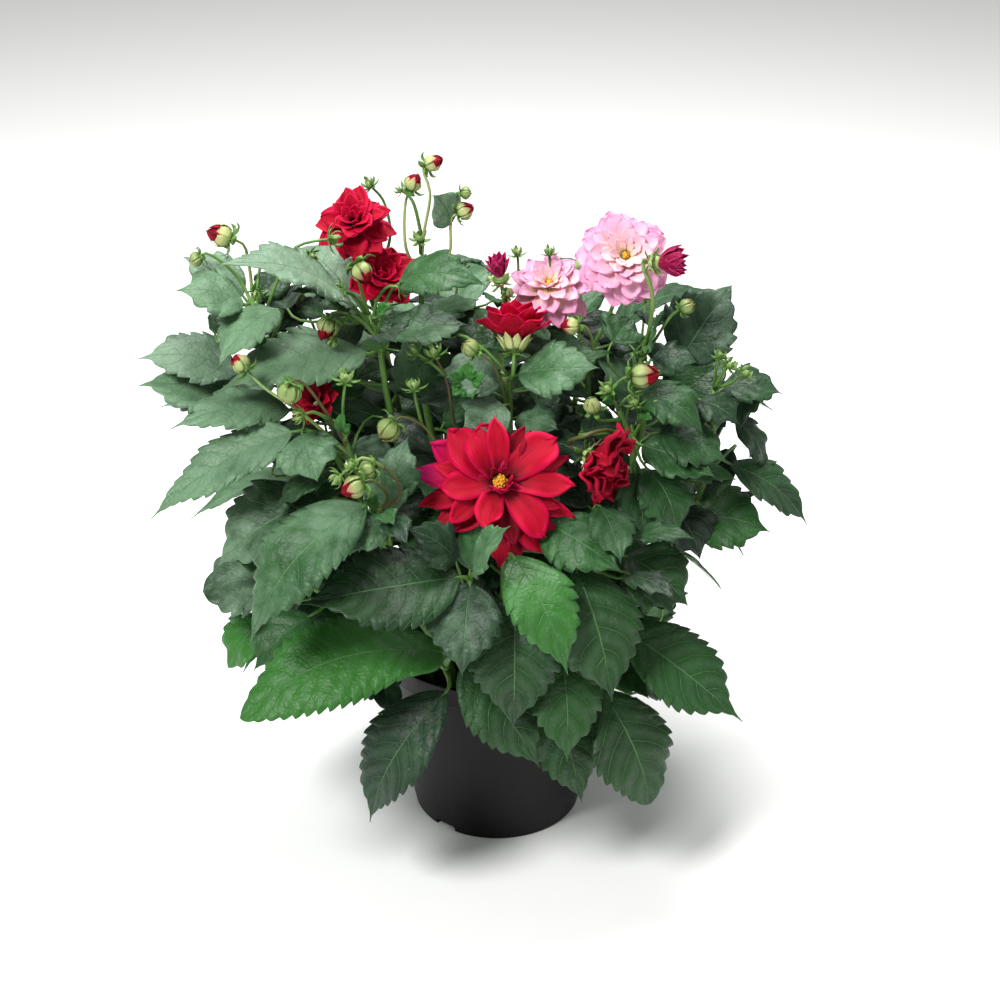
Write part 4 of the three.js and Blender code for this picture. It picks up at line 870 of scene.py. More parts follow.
def growPetal(mesh, frame, form, turn, level, length, width, rise, curl, tone, point, chance):
    made = addGrid(mesh, 14, 8, tone)
    step = [Vector((math.cos(math.radians(lean)), 0, math.sin(math.radians(lean)))) * (length / 2)
            for lean in (rise, rise - curl)]
    root = Vector((form["hub"] * 0.5, 0, level))
    rib = (root, root + step[0], root + step[0] + step[1])
    cup, crumple, loose = form["cup"], form.get("crumple", 0.02), form.get("loose", 1)
    about = frame @ Matrix.Rotation(turn, 4, "Z")
    sway, twist = loose * chance.uniform(-0.06, 0.06), loose * chance.uniform(-0.12, 0.12)
    ruffle, crease = chance.uniform(0, 6), chance.uniform(-0.3, 0.3)
    for vert in made:
        share, across = 1 - (0.5 - vert.co.x) ** 1.3, 2 * vert.co.y
        notch = form.get("ragged", 0.03) * (1 + math.sin(5 * across + 2 * ruffle)) * smoothStep(0.7, 1, share)
        heading = bowHeading(rib, share)
        over = Vector((-heading.z, 0, heading.x))
        reach = width / 2 * petalProfile(share, point, form.get("widest", 0.5))
        pleats = math.cos(3 * math.pi * across) * min(1, share * 4)
        lift = cup * reach * abs(across - 0.4 * crease) ** 1.6 + 0.5 * crumple * width * pleats
        lift += twist * share * reach * across * 1.5
        waves = math.sin(6 * share + ruffle + 2 * across) + math.sin(11 * share - ruffle)
        lift += crumple * width * waves * abs(across)
        spot = onBow(rib, share - notch) + over * lift
        spot.y += across * reach + sway * length * share ** 2
        vert.co = about @ spot
    bmesh.ops.remove_doubles(mesh, verts=made, dist=0.02)


outerBracts = dict(count=5, line=[(0.4, -1.15), (0.9, -1.3), (1.25, -1.45), (1.5, -1.3)], width=0.26)


def growBloom(mesh, bloom, start, chance, tone):
    form = {**blooms[bloom["kind"]], **bloom}
    face = Vector(bloom["face"]).normalized()
    origin = place(bloom["centre"]) - face * (form["top"] + 0.7 * form.get("disc", 0))
    frame = facingFrame(face, origin)
    size, hub, name = form["calyx"], form["hub"], bloom["name"]
    end = origin - face * (0.9 * size)
    path = smoothPath([start, *[place(spot) for spot in bloom["via"]], end - face * form.get("neck", 14), end], 6)
    addTube(mesh, path, tapered(1.4, 1.3, len(path)), 8, form.get("stalkTone", tone))
    addTurned(mesh, frame, [(-1.2, 0.2), (-1.0, 0.45), (-0.6, 0.82), (-0.2, 0.98), (-0.06, 0.98)], size, 0.6, 14)
    crown = form["top"] + 0.6 if "disc" in form else form["top"] * 0.6
    core = [(-0.3, hub * 0.9), (0.4, hub * 0.8), (form["top"] * 0.5, hub * 0.55), (crown, hub * 0.42)]
    addTurned(mesh, frame, core, 1, 0.9, 14)
    longer = form.get("sepals", 1.0)
    sepals = [(0.8, -0.8), (1.05, -0.35), (1.3 * longer, -0.1 * longer), (1.55 * longer, 0.0)]
    sepals = dict(count=9, line=form.get("sepalLine", sepals), width=form.get("sepalWidth", 0.36), blush=0.4)
    addLobes(mesh, frame, sepals, size, 0.9, chance)
    addLobes(mesh, frame, outerBracts, size, 0.55, chance)

    petals, loose = startMesh(), form.get("loose", 1)
    for number, (count, level, length, width, rise, curl) in enumerate(form["rings"]):
        for i in range(count):
            turn = 2 * math.pi * (i + 0.5 * (number % 2) + loose * chance.uniform(-0.12, 0.12)) / count
            under = max(0, -math.sin(turn)) * max(0, 1 - number / 3)  # the lower petals hang, and get painted shade, darker
            depth = 0.42 + 0.1 * chance.random() + 0.05 * number - form.get("paintedShade", 0) * under
            drape = form.get("drape", 0) * under
            taller = form.get("tall", 0) * (abs(math.sin(turn + math.radians(form.get("tallTurn", 0)))) - 0.5)
            size = length * (1 + taller) * (1 - loose * chance.uniform(0, 0.1))
            growPetal(petals, frame, form, turn, level + chance.uniform(-0.4, 0.4), size,
                      width * (1 + loose * chance.uniform(-0.06, 0.06)), rise - drape + loose * chance.uniform(-6, 6),
                      curl + loose * chance.uniform(-6, 6), depth, form["point"], chance)
    for turn, level, length, width, rise, curl, depth, point in form.get("petals", []):
        growPetal(petals, frame, form, math.radians(turn), level, length, width, rise, curl, depth, point, chance)
    shade = form["shade"]
    finishPiece(petals, f"{name}_rays", [petalPaint[shade]], [f"{name}_petals"], thickness=0.45)

    if "disc" in form:
        disc = startMesh()
        level, radius = form["top"] + 0.7, form.get("heart", form["disc"])
        addTurned(disc, frame, [(level, radius * 0.9), (level + 0.25 * radius, radius * 0.85),
                                (level + 0.5 * radius, radius * 0.5), (level + 0.6 * radius, 0.05)], 1, 0.5, 14)
        florets = round(8 + 4.5 * radius)
        for i in range(florets):
            out, turn = radius * 0.92 * math.sqrt((i + 0.5) / florets), goldenAngle * i
            height = level + 0.5 * radius * (1 - (out / radius) ** 2)
            lean = Matrix.Rotation(1.0 * out / radius + chance.uniform(-0.3, 0.3), 4, "Y")
            spot = frame @ Matrix.Rotation(turn, 4, "Z") @ Matrix.Translation((out, 0, height)) @ lean
            bmesh.ops.create_cone(disc, cap_ends=True, segments=6, radius1=0.5, radius2=0.95,
                                  depth=chance.uniform(2.4, 4.2), matrix=spot)
        finishPiece(disc, f"{name}_florets", [discYellow], [f"{name}_disc"])


# Leafy stems. hole is the place in the soil; route and the rest are places for at().
# A leaf, bud or bloom grows at route's point number node, or at a place of its own named root.
# A leaf's tone, where given, sets its painted light and shade instead of the rule by where it grows.
stems = {
    "rear_left": dict(
        hole=(-36, 6),
        route=[(399, 450, -14), (385, 385, -12), (381, 355, -10), (368, 312, 0)],
        leaves=[
            dict(node=3, base=(352, 304, -3), tip=(217, 265, -28), width=54, rows=4),
            dict(node=3, base=(398, 284, 2), tip=(487, 286, 4), width=34),
            dict(node=2, base=(366, 354, -16), tip=(217, 393, -52), width=58, rows=4),
            dict(node=3, base=(350, 292, 10), tip=(295, 252, 32), width=40),
            dict(node=2, base=(390, 334, -8), tip=(470, 325, 2), width=40),
        ],
        buds=[
            dict(node=3, via=[(360, 285, -6), (356, 262, -10)],
                 head=(362, 272, -14), kind="tipped", size=6, name="nodding", scaleTone=0.84),
            dict(node=2, via=[(373, 334, -14), (350, 314, -20), (332, 313, -26)],
                 head=(327, 327, -28), kind="tipped", size=6.2, name="hanging", scaleTone=0.8),
            dict(node=3, via=[(378, 298, -4), (390, 286, -8)], head=(406, 289, -12), kind="star", size=4),
        ],
    ),
    "top_left": dict(
        hole=(-14, 24),
        route=[(425, 400, 18), (422, 330, 34), (421, 262, 43)],
        leaves=[
            dict(node=2, base=(424, 264, 22), tip=(486, 268, 34), width=30),
            dict(node=1, base=(428, 322, 24), tip=(480, 300, 46), width=36),
            dict(node=0, base=(430, 398, 22), tip=(402, 335, 26), width=44),
            dict(root=(450, 229, 26), base=(451, 224, 25), tip=(432, 195, 18), width=15, rows=2, fuller=1.7,
                 facing=0.9, tone=1.0, toothPitch=7, toothDepth=0.03, pointed=0.1, wave=0.3, quilt=0.1, twist=0.05),
        ],
        buds=[
            dict(node=2, via=[(424, 232, 24), (430, 192, 22), (423, 168, 22)],
                 head=(433, 163, 20), kind="tipped", size=4.9, name="top", stalkTone=0.85),
            dict(node=2, via=[(406, 248, 28), (406, 200, 28)],
                 head=(413, 183, 27), kind="tipped", size=4.9, name="top_left", stalkTone=0.85),
            dict(node=2, via=[(449, 255, 24), (452, 217, 26)],
                 head=(464, 211, 27), kind="tipped", size=4.8, name="top_right", stalkTone=0.8),
            dict(root=(450, 225, 26), via=[(451, 206, 28), (457, 193, 28)],
                 head=(466, 193, 28), kind="round", size=3.6),
        ],
    ),
    "red_rear": dict(
        hole=(-42, 36),
        route=[(392, 380, 38), (378, 318, 60), (364, 280, 58)],
        leaves=[
            dict(node=1, base=(366, 305, 40), tip=(300, 290, 82), width=44),
            dict(node=0, base=(378, 372, 42), tip=(310, 345, 92), width=48, rows=4),
        ],
        buds=[
            dict(node=2, via=[(390, 238, 68), (383, 200, 70)], head=(368, 183, 66), kind="star", size=4),
        ],
        blooms=[
            dict(name="red_upper", kind="doubleRed", node=2, via=[],
                 centre=(354, 222, 24), face=(-0.1, -0.58, 0.81)),
            dict(name="red_lower", kind="cupRed", node=1, via=[(382, 298, 40)],
                 centre=(382, 278, 24), face=(0.2, -0.5, 0.84)),
        ],
    ),
    "side_left": dict(
        hole=(-58, -8),
        route=[(345, 470, -22), (300, 410, -22), (268, 360, -16), (252, 300, -6)],
        leaves=[
            dict(node=3, base=(243, 296, 2), tip=(183, 257, 16), width=26, fuller=1.25),
            dict(node=3, base=(244, 304, -8), tip=(176, 291, -14), width=32, fuller=1.45),
            dict(node=3, base=(277, 309, -14), tip=(219, 367, -50), width=40),
            dict(node=2, base=(240, 370, -14), tip=(138, 359, -24), width=40, fuller=1.12),
            dict(node=1, base=(240, 400, -22), tip=(138, 386, -30), width=28, fuller=1.8),
            dict(node=1, base=(275, 386, -28), tip=(161, 407, -50), width=46),
            dict(node=1, base=(290, 410, -34), tip=(171, 429, -58), width=38),
        ],
        buds=[
            dict(node=3, via=[(249, 265, -4), (243, 244, -6)],
                 head=(221, 235, -8), kind="tipped", size=6.7, name="left"),
            dict(node=3, via=[(240, 280, 2), (222, 262, 2), (206, 253, 2)],
                 head=(196, 259, 1), kind="round", size=4.2),
            dict(node=3, via=[(260, 268, -8)], head=(270, 251, -8), kind="round", size=4.2),
            dict(node=3, via=[(282, 270, -6), (296, 247, -2), (322, 240, 0)],
                 head=(336, 239, 0), kind="star", size=5),
        ],
    ),
    "mid_left": dict(
        hole=(-42, -32),
        route=[(378, 520, -50), (345, 440, -60)],
        leaves=[
            dict(node=1, base=(292, 432, -62), tip=(151, 519, -78), width=34, rows=4, arch=0.09, belly=0.62,
                 fuller=1.2),
            dict(node=1, base=(302, 434, -68), tip=(318, 482, -90), width=40),
            dict(node=0, base=(322, 500, -66), tip=(217, 568, -84), width=60, rows=4),
            dict(node=1, base=(352, 448, -62), tip=(395, 470, -84), width=34),
        ],
        buds=[
            dict(node=1, via=[(330, 418, -68), (303, 383, -76), (294, 380, -78)],
                 head=(289, 393, -80), kind="round", size=6.6, stalkTone=0.05),
            dict(node=1, via=[(300, 412, -76), (262, 386, -74)],
                 head=(241, 364, -68), kind="tipped", size=5.2, name="low_left", scaleTone=0.84),
        ],
        blooms=[
            dict(name="red_hidden", kind="smallRed", node=1, via=[(335, 425, -52)],
                 centre=(315, 402, -50), face=(-0.3, -0.5, 0.81)),
        ],
    ),
    "front_left": dict(
        hole=(-30, -54),
        route=[(402, 590, -72), (373, 505, -86)],
        leaves=[
            dict(node=1, base=(366, 505, -90), tip=(250, 645, -132), width=54, rows=4, arch=0.2, tone=0.66),
            dict(node=1, base=(384, 518, -92), tip=(347, 553, -108), width=34),
            dict(node=1, base=(390, 512, -86), tip=(381, 470, -88), width=28),
            dict(node=1, base=(366, 512, -90), tip=(350, 556, -104), width=22, rows=2, tone=0.9, fresh=1.0),
            dict(node=1, base=(395, 500, -82), tip=(408, 437, -74), width=30),
        ],
        buds=[
            dict(node=1, via=[(398, 500, -94), (398, 482, -100), (382, 466, -104)],
                 head=(366, 471, -107), kind="round", size=5.6, stalkTone=0.05),
            dict(node=1, via=[(388, 496, -104), (370, 480, -118)],
                 head=(354, 487, -122), kind="tipped", size=6.2, name="front_left", stalkTone=0.15, scaleTone=0.8),
            dict(root=(383, 467, -104), via=[(362, 458, -108)],
                 head=(336, 480, -112), kind="star", size=4.4),
        ],
    ),
    "front_centre": dict(
        hole=(-12, -60),
        route=[(468, 640, -84), (470, 577, -94)],
        leaves=[
            dict(node=1, base=(460, 577, -100), tip=(299, 605, -132), width=60, rows=4, arch=0.1, tone=0.2),
            dict(node=1, base=(473, 572, -98), tip=(510, 526, -126), width=28, tone=0.9, fresh=0.5),
            dict(node=1, base=(470, 570, -94), tip=(482, 517, -108), width=24, tone=0.8, fresh=0.5),
            dict(node=1, base=(470, 584, -102), tip=(462, 677, -142), width=46),
            dict(node=1, base=(456, 562, -90), tip=(404, 526, -98), width=30),
        ],
    ),
    "low_left": dict(
        hole=(-44, -45),
        route=[(446, 668, -90)],
        leaves=[
            dict(node=0, base=(442, 652, -98), tip=(240, 719, -128), width=64, rows=5, belly=1, arch=0.11,
                 tipPower=-0.3, basePower=-0.6, tone=0.66, fresh=1.0, sway=0.08),
            dict(node=0, base=(446, 692, -96), tip=(370, 822, -116), width=48, rows=4, arch=0.19),
            dict(node=0, base=(462, 664, -98), tip=(540, 768, -122), width=46, rows=4),
        ],
    ),
    "low_side": dict(
        hole=(-57, -25),
        route=[(330, 600, -52), (300, 575, -60)],
        leaves=[
            dict(node=1, base=(276, 580, -62), tip=(203, 592, -70), width=54, belly=1, fresh=0.1, tipPower=-0.3),
            dict(node=0, base=(310, 616, -76), tip=(254, 671, -94), width=42),
            dict(node=0, base=(274, 612, -62), tip=(228, 668, -74), width=40, belly=1, fresh=1.0, tipPower=0),
            dict(node=1, base=(286, 560, -66), tip=(225, 560, -80), width=38),
        ],
    ),
    "bloom_front": dict(
        hole=(8, -28),
        route=[(505, 620, -44), (503, 545, -56)],
        leaves=[
            dict(node=1, base=(545, 522, -76), tip=(622, 573, -108), width=46),
        ],
        blooms=[
            dict(name="red_front", kind="largeRed", node=1, via=[],
                 centre=(500, 480, -78), face=(0, -0.75, 0.66)),
        ],
    ),
    "centre": dict(
        hole=(2, 0),
        route=[(510, 520, -14), (510, 425, -22), (509, 376, -22)],
        leaves=[
            dict(node=2, base=(518, 374, -26), tip=(600, 368, -36), width=42),
            dict(node=1, base=(517, 417, -28), tip=(559, 430, -48), width=30),
            dict(node=2, base=(500, 380, -26), tip=(436, 376, -34), width=36),
            dict(node=1, base=(504, 405, -36), tip=(463, 428, -56), width=36),
            dict(node=0, base=(520, 500, -24), tip=(585, 470, -36), width=40),
            dict(node=0, base=(490, 520, -22), tip=(408, 482, -36), width=50),
        ],
        buds=[
            dict(node=1, via=[(502, 388, -30), (491, 362, -40)],
                 head=(470, 348, -44), kind="round", size=5, stalkTone=0.2),
            dict(node=1, via=[(480, 398, -30)], head=(465, 379, -36), kind="star", size=5),
            dict(node=0, via=[(458, 435, -34), (446, 378, -38)],
                 head=(432, 351, -40), kind="star", size=5, stalkTone=0.05),
            dict(node=0, via=[(440, 447, -54), (422, 425, -60), (400, 417, -66)],
                 head=(388, 430, -70), kind="round", size=6.8, stalkTone=0.15),
        ],
        blooms=[
            dict(name="red_middle", kind="sideRed", node=2, via=[],
                 centre=(515, 334, -16), face=(0.05, 0.55, 0.83)),
            dict(name="magenta_left", kind="opening", node=2, via=[(503, 372, 8), (499, 330, 16)],
                 centre=(499, 272, 0), face=(-0.15, -0.2, 0.97)),
        ],
    ),
    "low_right": dict(
        hole=(18, -58),
        route=[(528, 640, -84), (522, 592, -90)],
        leaves=[
            dict(node=1, base=(515, 594, -96), tip=(513, 730, -130), width=58, rows=4),
            dict(node=1, base=(513, 556, -98), tip=(568, 676, -142), width=44, rows=4, tone=0.8, fresh=0.8),
            dict(node=0, base=(562, 648, -94), tip=(567, 762, -128), width=46, rows=4),
            dict(node=0, base=(550, 692, -92), tip=(582, 803, -112), width=46, rows=4),
        ],
    ),
    "right_front": dict(
        hole=(46, -44),
        route=[(590, 600, -70), (600, 545, -72)],
        leaves=[
            dict(node=1, base=(576, 570, -90), tip=(612, 702, -134), width=62, rows=4, tone=0.22, fresh=0.28),
            dict(node=0, base=(628, 632, -84), tip=(743, 722, -106), width=50, rows=4, arch=0.04, fuller=1.12,
                 tipPower=0.9, tone=0.3, fresh=0.35),
            dict(node=1, base=(626, 556, -66), tip=(688, 606, -84), width=56),
            dict(node=0, base=(600, 688, -92), tip=(650, 804, -114), width=58, rows=4, belly=0.88, tipPower=-0.3,
                 tone=0.2, fresh=0.25),
            dict(node=1, base=(600, 506, -70), tip=(621, 564, -94), width=30),
        ],
    ),
    "right_mid": dict(
        hole=(40, -14),
        route=[(622, 530, -34), (632, 447, -32), (618, 408, -30)],
        leaves=[
            dict(node=1, base=(660, 432, -34), tip=(728, 463, -46), width=44),
            dict(node=1, base=(642, 445, -40), tip=(716, 478, -60), width=40),
            dict(node=2, base=(642, 394, -26), tip=(703, 434, -34), width=40),
            dict(node=1, base=(634, 472, -44), tip=(642, 538, -68), width=36),
            dict(node=1, base=(648, 470, -38), tip=(676, 538, -60), width=40),
        ],
        buds=[
            dict(node=2, via=[(612, 392, -36), (624, 378, -38)],
                 head=(643, 376, -40), kind="tipped", size=7.4, name="right", scaleTone=0.8),
            dict(node=2, via=[(598, 420, -44)], head=(592, 405, -50), kind="round", size=5),
            dict(node=1, via=[(640, 424, -38), (648, 412, -40)], head=(657, 407, -42), kind="star", size=5),
        ],
        blooms=[
            dict(name="red_crumpled", kind="crumpledRed", node=1, via=[(606, 430, -54), (584, 436, -62)],
                 centre=(601, 461, -62), face=(0.8, -0.56, -0.2)),
        ],
    ),
    "right_side": dict(
        hole=(60, 0),
        route=[(688, 520, -14), (712, 440, -8), (714, 388, -2)],
        leaves=[
            dict(node=0, base=(690, 518, -28), tip=(770, 532, -36), width=50, rows=4, fuller=1.2, tone=0.05,
                 fresh=0.45),
            dict(node=1, base=(730, 464, -8), tip=(807, 525, -16), width=38),
            dict(node=1, base=(734, 418, 0), tip=(766, 471, 0), width=28),
            dict(node=2, base=(724, 386, 2), tip=(782, 394, 2), width=36),
            dict(node=2, base=(700, 400, -14), tip=(738, 424, -26), width=36),
            dict(node=0, base=(668, 508, -34), tip=(700, 560, -52), width=44),
        ],
        buds=[],
    ),
    "rear_right": dict(
        hole=(44, 22),
        route=[(642, 430, 10), (640, 352, 4)],
        leaves=[
            dict(node=1, base=(680, 362, 8), tip=(732, 285, 22), width=50, rows=4, tone=0.6, tipPower=0.2),
            dict(node=1, base=(652, 360, -4), tip=(698, 363, -8), width=32),
            dict(node=1, base=(642, 344, 4), tip=(656, 314, 12), width=36),
            dict(node=1, base=(612, 342, -2), tip=(632, 318, 14), width=32),
            dict(node=0, base=(668, 410, 20), tip=(730, 360, 40), width=46),
            dict(node=0, base=(636, 430, 16), tip=(586, 352, 22), width=52),
        ],
        buds=[
            dict(node=1, via=[(655, 340, -2), (673, 314, -2)], head=(687, 306, -4), kind="round", size=4.6),
        ],
        blooms=[
            dict(name="magenta_right", kind="closing", node=1, via=[(648, 335, -14), (652, 292, -28)],
                 centre=(664, 262, -26), face=(0.88, -0.42, 0.2)),
        ],
    ),
    "pink": dict(
        hole=(20, 20),
        route=[(585, 430, 14), (588, 352, 14)],
        leaves=[
            dict(node=1, base=(580, 342, 8), tip=(552, 354, -4), width=38),
            dict(node=1, base=(604, 352, 24), tip=(642, 338, 44), width=30),
            dict(node=0, base=(560, 425, 24), tip=(520, 390, 44), width=44),
        ],
        buds=[
            dict(node=1, via=[(592, 340, 0), (584, 326, -4)],
                 head=(571, 326, -6), kind="tipped", size=5.1, name="pink"),
        ],
        blooms=[
            dict(name="pink_right", kind="pinkWide", node=1, via=[(612, 308, 14)],
                 centre=(626, 254, -4), face=(0.05, -0.78, 0.62)),
            dict(name="pink_left", kind="pinkDouble", node=1, via=[(558, 325, 14)],
                 centre=(549, 281, 16), face=(-0.12, -0.52, 0.85)),
        ],
    ),
}


# The rear of the plant, by rule: stems lean out from the soil and carry leaves in opposite pairs.
rearStems = {
    "rear_far_left": dict(hole=(-60, 22), heading=158, heights=(168, 222, 270, 308), reach=0.9, buds=1),
    "rear_middle_left": dict(hole=(-8, 54), heading=116, heights=(160, 214, 262, 300), reach=1, buds=2),
    "rear_middle_right": dict(hole=(34, 52), heading=62, heights=(166, 220, 266, 298), reach=1, buds=1),
    "rear_far_right": dict(hole=(54, 34), heading=36, heights=(214, 254, 292), reach=0.76, buds=1),
}
rearRule = dict(
    lean=0.3, petiole=24, petioleRise=7, length=118, lengthStep=-8, rise=-28, riseStep=12,
    spreads=(58, 24, 64, 34), widthShare=0.48, outward=0.5, shorter=0.92, tipPower=0.25,
    budReach=52, budSpread=18, budTurns=(40, -50), budSize=4.8,
)


def compass(angle):
    return Vector((math.cos(math.radians(angle)), math.sin(math.radians(angle)), 0))


def rearLeaves(joint, i, stem):
    rule, pair = rearRule, []
    for side in (1, -1):
        direction = compass(stem["heading"] + side * rule["spreads"][i])
        base = joint + direction * rule["petiole"] + upward * rule["petioleRise"]
        length = stem["reach"] * (rule["length"] + rule["lengthStep"] * i) * (1 if side > 0 else rule["shorter"])
        rise = math.radians(rule["rise"] + rule["riseStep"] * i)
        tip = base + direction * (length * math.cos(rise)) + upward * (length * math.sin(rise))
        pair.append(dict(node=i, base=base, tip=tip, width=length * rule["widthShare"],
                         outward=rule["outward"], front=0, tipPower=rule["tipPower"]))
    return pair


def rearStem(stem):
    rule = rearRule
    foot, lean = Vector((*stem["hole"], soilLook["crown"])), compass(stem["heading"])
    route = [foot + (lean * rule["lean"] + upward) * (height - foot.z) for height in stem["heights"]]
    buds = []
    for i, turn in enumerate(rule["budTurns"][:stem["buds"]]):
        direction = compass(stem["heading"] + turn)
        via = route[-1] + direction * (0.45 * rule["budSpread"]) + upward * (0.6 * rule["budReach"])
        head = route[-1] + direction * rule["budSpread"] + upward * rule["budReach"]
        kind = "star" if i else "round"
        buds.append(dict(node=len(route) - 1, via=[via], head=head, kind=kind, size=rule["budSize"]))
    leaves = [leaf for i, joint in enumerate(route) for leaf in rearLeaves(joint, i, stem)]
    return dict(hole=stem["hole"], route=route, leaves=leaves, buds=buds)


# Growing the plant

stemShape = dict(girth=3.1, topGirth=1.8, sides=10, rootStep=5, depth=24, upright=12)


def rootOf(points, rooted, growth):
    # each next piece at a numbered point sits a little further along or back
    if "root" in growth:
        return place(growth["root"])
    node = growth["node"]
    count = rooted.get(node, 0)
    rooted[node] = count + 1
    index = node + 3
    last = index == len(points) - 1
    steps = -0.6 - count if last else math.ceil(count / 2) * (1 if count % 2 else -1)
    heading = (points[index if last else index + 1] - points[index - 1]).normalized()
    return points[index] + heading * (steps * stemShape["rootStep"])


def solidCorners(node):
    verts = frame["nodes"][node].data.vertices
    tree = kdtree.KDTree(len(verts))
    for vert in verts:
        tree.insert(vert.co / millimetre, vert.index)
    tree.balance()
    return tree


# Inner leaves fill the plant between the others. From the front they stay behind the blooms
# and inside the outline of the foliage.
# tone stays low: painted shade on the leaves deep inside the foliage
fillRule = dict(
    tries=230, perStem=12, length=(36, 84), widthShare=(0.42, 0.56), petiole=(10, 30), rise=(-28, 34), lift=9,
    lowest=62, lowestRoot=140, widest=172, gap=0.9, behind=30, steps=(3, 8), tone=(0.0, 0.35),
    blade=dict(toothPitch=10.5, tipPower=0.3, outward=0.3, front=0.15),
)
foliageOutline = [
    (232, 270), (300, 262), (345, 300), (400, 300), (428, 270), (480, 274), (506, 290), (562, 330), (590, 308),
    (655, 306), (690, 300), (728, 300), (722, 350), (775, 395), (762, 462), (800, 520), (760, 528), (705, 570),
    (690, 604),
    (670, 628), (720, 700), (660, 700), (655, 790), (600, 780), (560, 740), (520, 700), (460, 690), (440, 740),
    (385, 790), (368, 700), (300, 715), (250, 710), (250, 690), (300, 640), (232, 650), (210, 590), (240, 550),
    (262, 480), (200, 500), (190, 480), (240, 430), (160, 400), (150, 362), (208, 338), (186, 300),
]
# what the inner leaves stay behind: pixel across, pixel down, radius and depth
flowersKept = [
    (500, 488, 84, -95), (356, 222, 44, 0), (382, 280, 38, 10), (552, 285, 48, 0), (626, 256, 56, -20),
    (515, 335, 46, -40), (604, 458, 56, -80), (314, 402, 24, -70), (498, 266, 24, -10), (668, 262, 24, -40),
    (465, 378, 18, -50), (388, 430, 14, -80), (289, 392, 14, -90), (648, 376, 24, -60), (327, 325, 16, -40),
    (290, 690, 40, -110), (350, 675, 44, -105), (400, 665, 36, -100), (350, 590, 36, -100), (410, 585, 36, -90),
    (310, 560, 40, -100), (545, 610, 36, -110), (515, 660, 36, -100), (595, 630, 34, -105), (690, 670, 40, -90),
    (362, 268, 16, -20), (431, 163, 20, 0), (413, 184, 20, 0), (461, 208, 20, 0), (354, 484, 22, -130),
    (240, 364, 16, -80), (220, 236, 20, -20), (571, 326, 14, -20), (592, 405, 14, -60),
]


def insideOutline(spot, outline):
    x, y, crossings = spot[0], spot[1], 0
    for (x1, y1), (x2, y2) in zip(outline, outline[1:] + outline[:1]):
        crossings += (y1 > y) != (y2 > y) and x < x1 + (y - y1) / (y2 - y1) * (x2 - x1)
    return crossings % 2 == 1


def solidsTree():
    corners, faces = [], []
    for node in frame["nodes"].values():
        first = len(corners)
        corners += [vert.co / millimetre for vert in node.data.vertices]
        faces += [[first + i for i in face.vertices] for face in node.data.polygons]
    return BVHTree.FromPolygons(corners, faces)


def roughBlade(form, gap):
    # the blade as two coarse sheets, a gap apart, to see what it would cut
    corners, faces = [], []
    shares, acrosses = (0.02, 0.2, 0.4, 0.6, 0.8, 1.0), (-1, -0.5, 0, 0.5, 1)
    for over in (-gap, gap):
        first = len(corners)
        for share in shares:
            reach = form["width"] / 2 * bladeProfile(share, form["belly"])
            normal = form["side"].cross(bowHeading(form["rib"], share))
            for across in acrosses:
                lift = over + form["fold"] * reach * abs(across)
                corners.append(onBow(form["rib"], share) + form["side"] * (across * reach) + normal * lift)
        width = len(acrosses)
        faces += [[first + i * width + j, first + i * width + j + 1, first + (i + 1) * width + j + 1,
                   first + (i + 1) * width + j] for i in range(len(shares) - 1) for j in range(width - 1)]
    return corners, BVHTree.FromPolygons(corners, faces)


def inTheWay(corners):
    for corner in corners:
        across, down, depth = seenAt(corner)
        if not insideOutline((across, down), foliageOutline):
            return True
        if any(math.hypot(across - x, down - y) < radius and depth < own + fillRule["behind"]
               for x, y, radius, own in flowersKept):
            return True
    return False


def fits(form, root, obstacles, seen=True):
    # a leaf that cuts nothing, with a stalk that gets past the others; its sheets are obstacles from then on
    corners, sheet = roughBlade(form, fillRule["gap"])
    reach, tip = form["rib"][0] - root, form["rib"][2]
    if tip.z < fillRule["lowest"] or tip.xy.length > fillRule["widest"] or seen and inTheWay(corners):
        return False
    if any(sheet.overlap(other) for other in obstacles):
        return False
    if any(other.ray_cast(root + reach * 0.35, reach, reach.length * 0.6)[0] for other in obstacles):
        return False
    obstacles.append(sheet)
    return True


def growFill(points, stalks, blades, obstacles, chance):
    rule, grown = fillRule, 0
    path = [spot for spot in smoothPath(points, 6) if spot.z > rule["lowestRoot"]]
    for _ in range(rule["tries"]):
        if grown == rule["perStem"] or not path:
            break
        root = chance.choice(path)
        direction, rise = compass(chance.uniform(-180, 180)), math.radians(chance.uniform(*rule["rise"]))
        base = root + direction * chance.uniform(*rule["petiole"]) + upward * chance.uniform(0, rule["lift"])
        length = chance.uniform(*rule["length"])
        tip = base + direction * (length * math.cos(rise)) + upward * (length * math.sin(rise))
        width = length * chance.uniform(*rule["widthShare"])
        form = leafForm(dict(base=base, tip=tip, width=width, **rule["blade"]), 0, 0)
        if fits(form, root, obstacles):
            grown += 1
            growLeafStalk(stalks, form, root, chance.uniform(0.3, 0.55))
            growBlade(blades, form, chance.uniform(*rule["tone"]), chance, rule["steps"])
    return grown


